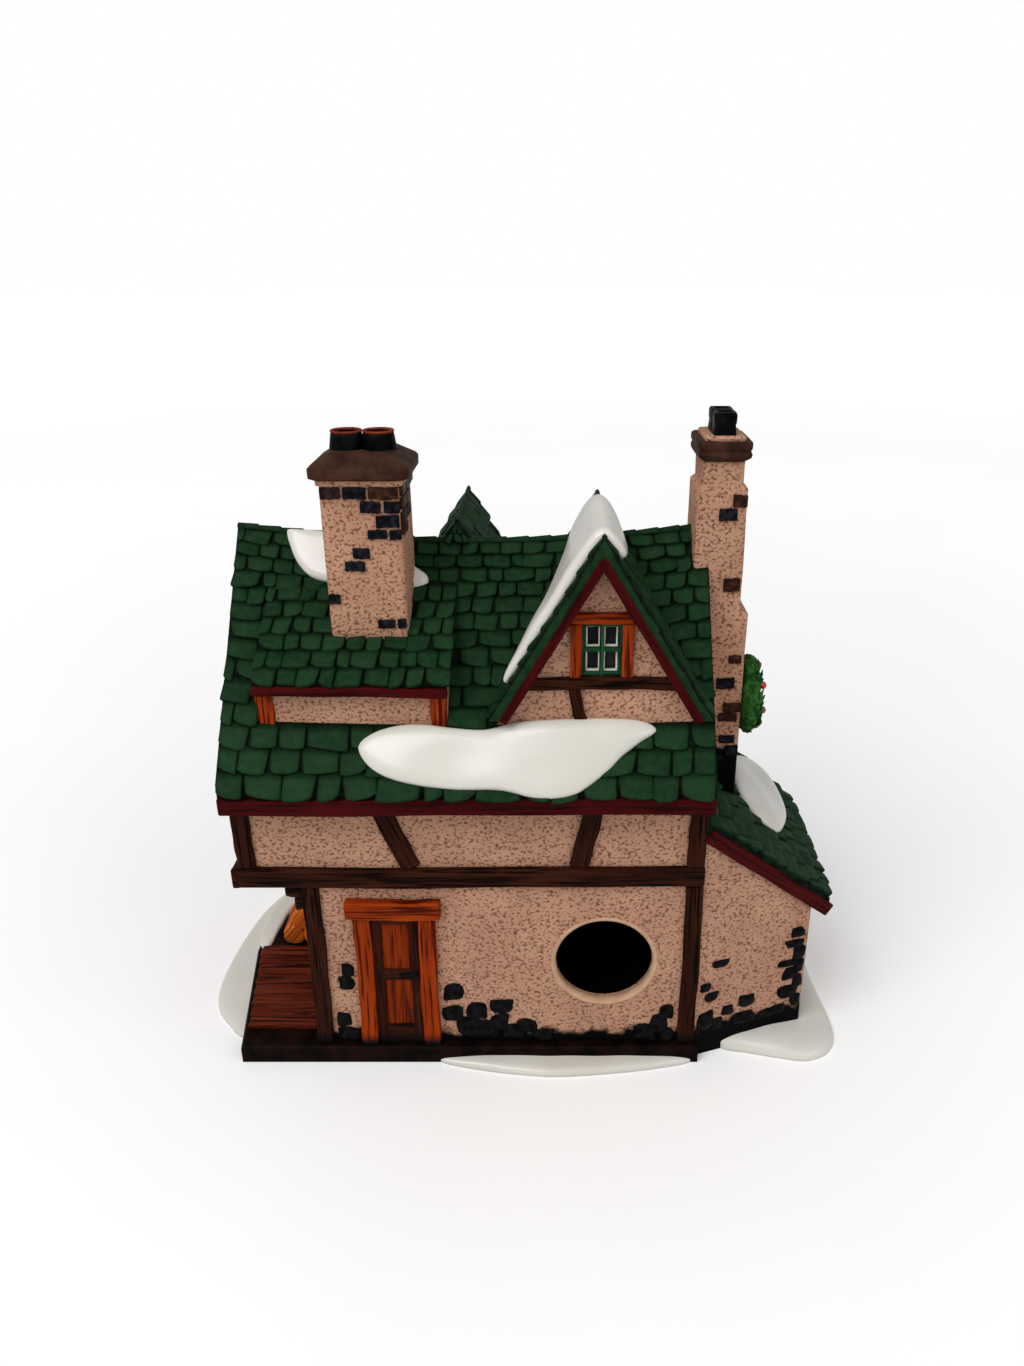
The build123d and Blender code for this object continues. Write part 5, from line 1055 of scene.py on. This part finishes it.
# %% Snow on the roofs
ON_ROOF = 1.2
for name, node, middle, lay, depth, seed, *outline in (
    ("eave_blanket", "eave_snow", (2, -50.8), on_rear_slope, 2.6, 91,
     (-45.2, -48.4), (-41.5, -45.6), (-34, -43.9), (-26, -43.6), (-18, -44.2), (-8, -44.6), (0, -43.4),
     (8, -42.8), (24, -42.6), (38, -43.2), (43.6, -45.2), (38.6, -47.6), (33.2, -50.2), (28.2, -53.4),
     (19.2, -57.4), (8.9, -58.2), (-2.9, -56.6), (-17.6, -56.4), (-32.5, -54.9), (-41, -52.4)),
    ("gable_blanket", "gable_snow", (25.0, -40.5), on_cross_gable, 2.3, 92,
     (32.2, -41.5), (32.4, -24), (29, -1.1), (20.8, -1.1), (17.0, -19.2), (10.6, -33.2), (1.0, -42),
     (0.2, -45.2), (8.8, -46.6), (20.4, -46.8), (29, -46.4)),
    ("chimney_blanket", "chimney_snow", (-48, -10.2), on_rear_slope, 2.4, 93,
     (-71.2, -4.0), (-69.6, -8.0), (-66.2, -11.8), (-60.6, -14.2), (-45.4, -15.4), (-32.1, -15.6),
     (-27.0, -14.6), (-26.6, -12.4), (-29.9, -10.6), (-36.0, -8.0), (-46.0, -4.2), (-58.0, -3.4),
     (-67.0, -3.2)),
    ("lean_to_blanket", "lean_to_snow", (87, 8), on_lean_to, 2.4, 94,
     (86.1, 33.8), (93.6, 34.4), (97.3, 26), (97.6, 7.2), (91.4, -13.0), (86.5, -17.4), (80.2, -14.6),
     (76.5, -4), (78.6, 20)),
):
    piece(name, blanket(outline, middle, lay, depth, seed, ON_ROOF), "snow", "snow", node)

# %% Snow on the ground
HALF_BASE = np.array((111.75, 59.0))
ground_shares = np.array((
    (590, -660), (635, -775), (710, -810), (800, -850), (890, -875), (965, -800), (998, -620), (984, -200),
    (975, 250), (945, 660), (840, 900), (600, 965), (300, 990), (0, 997), (-350, 985), (-670, 950),
    (-860, 840), (-945, 600), (-985, 250), (-1000, -140), (-983, -400), (-925, -570), (-830, -700),
    (-600, -620), (200, -620),
)) / 1000
drift_outline = [
    (-25.5, -52), (-12, -55.8), (1.6, -58), (15.4, -58.9), (35.5, -57.1), (49, -54.9), (59.4, -52), (54, -48),
    (15, -46), (-20, -48),
]
side_outline = [
    (-98.6, -1), (-102.6, 10), (-101.2, 28), (-95, 42), (-82, 47.4), (-72, 47), (-84, 36), (-93, 28),
    (-95.5, 14), (-96.5, 3),
]
ground = blanket(ground_shares * HALF_BASE, (0, 0), on_ground, depth=3.5, seed=95, base=0.9, edge=16.0)
drift = blanket(drift_outline, (16, -51), on_ground, depth=1.9, seed=96, base=0.9, edge=7.0)
side = blanket(side_outline, (-97.5, 26), on_ground, depth=1.7, seed=97, base=5.9, edge=5.0)
piece("ground_blanket", join(ground, side), "snow", "snow", "ground_snow")
piece("drift_blanket", drift, "snow", "snow", "rear_snow_drift")

# %% [markdown]
# ## Walls and decks that stay
#
# The plain castings, the walls, roof decks and plinth, already have the right shape. They keep it and only
# take a finish.

# %% Finish the castings
KEPT = {
    "stucco": ("rear_wall", "front_wall", "left_wall", "right_wall", "rear_upper_wall", "front_upper_wall",
               "left_gable_wall", "right_gable_wall", "jetty_floor", "lean_to_walls", "shed_dormer_walls",
               "cross_gable_wall", "front_gable_wall"),
    # the roof decks: near-black green, painted shade between the shingles
    "gap_shade_green": ("rear_roof_slope", "front_roof_slope", "shed_dormer_roof", "lean_to_roof"),
    "roof_green": ("cross_gable_roof", "front_gable_roof"),
    "plinth_black": ("plinth",),
}
for finish, names in KEPT.items():
    for name in names:
        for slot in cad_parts[name].material_slots:
            slot.material = PAINTS[finish]
print("castings finished:", sum(len(names) for names in KEPT.values()))

# %% [markdown]
# ## Studio
#
# A pale floor that runs off into white, one large soft lamp above and to the left, a weaker one on the right
# and even light all round show the paint plainly. The camera stands where the house is seen from: above the
# rear, looking down. The lamps and the camera are placed in metres.

# %% Floor
def disc(radius):
    """A flat floor: rings of points about the house, closer together near it."""
    reach = radius * np.linspace(0, 1, 24)[:, None] ** 2
    return many(stacked(reach * np.cos(turns(72)), reach * np.sin(turns(72)), 0.0)[None])


def paper_finish(name):
    """Pale paper that the camera sees whiter the farther it lies from the house."""
    paint = Finish(name, rough=0.85)
    grain = paint.noise(scale=8.0, detail=2.0)
    away = paint.add("ShaderNodeVectorMath", {0: paint.place}, operation="LENGTH")["Value"]
    near, far = (paint.sums("MULTIPLY", paint.ramp(away, low, high), glow)
                 for low, high, glow in ((-0.4, 1.0, 0.5), (0.8, 2.5, 0.2)))
    seen = paint.add("ShaderNodeLightPath")["Is Camera Ray"]
    glow = paint.sums("MULTIPLY", paint.sums("ADD", near, far), seen)
    paint.shade({"Emission Strength": glow, "Emission Color": (255, 255, 255)})
    paint.colour(paint.mix(grain, (240, 240, 240), (246, 246, 246)))


points, quads, _ = disc(6000.0)
mesh = bpy.data.meshes.new("studio_floor")
mesh.from_pydata((points * MM).tolist(), [], quads.tolist())
mesh.shade_smooth()
paper_finish("paper")
mesh.materials.append(PAINTS["paper"])
floor = put("studio_floor", mesh)
print("floor faces:", len(mesh.polygons))

# %% Lamps
HOUSE_MIDDLE = np.array((0, 0, 0.08))


def lamp(name, place, size, power):
    """A square lamp that looks at the house."""
    light = bpy.data.lights.new(name, "AREA")
    light.size, light.energy = size, power
    made = put(name, light)
    made.location = place
    way = HOUSE_MIDDLE - place
    made.rotation_euler = (math.atan2(math.hypot(way[0], way[1]), -way[2]), 0, math.atan2(-way[0], way[1]))


lamp("key_lamp", (-0.45, -0.55, 0.95), size=0.7, power=7.2)
lamp("fill_lamp", (0.7, -0.5, 0.6), size=0.8, power=2.2)

# %% Even light, and white where the camera sees past the floor
world = bpy.data.worlds.new("even_light")
world.use_nodes = True
nodes, link = world.node_tree.nodes, world.node_tree.links.new
even, white = nodes["Background"], nodes.new("ShaderNodeBackground")
for background, strength in ((even, 0.42), (white, 1.0)):
    background.inputs["Color"].default_value = (1, 1, 1, 1)
    background.inputs["Strength"].default_value = strength
choose, path = nodes.new("ShaderNodeMixShader"), nodes.new("ShaderNodeLightPath")
for output, socket in zip((path.outputs["Is Camera Ray"], even.outputs[0], white.outputs[0]), choose.inputs):
    link(output, socket)
link(choose.outputs[0], nodes["World Output"].inputs["Surface"])
bpy.context.scene.world = world
print("lamps:", len(bpy.data.lights))

# %% Camera
LOOK_DOWN = 23.35
camera = bpy.data.cameras.new("camera")
camera.sensor_fit, camera.sensor_width, camera.sensor_height = "VERTICAL", 36.0, 36.0
camera.lens, camera.shift_x, camera.clip_start = 27.04, -0.0315, 0.01
view = put("camera", camera)
view.location = (0.01335, -0.3219, 0.25724)
view.rotation_euler = (math.radians(90 - LOOK_DOWN), 0, 0)
bpy.context.scene.camera = view
print("camera at:", tuple(round(c, 3) for c in view.location))
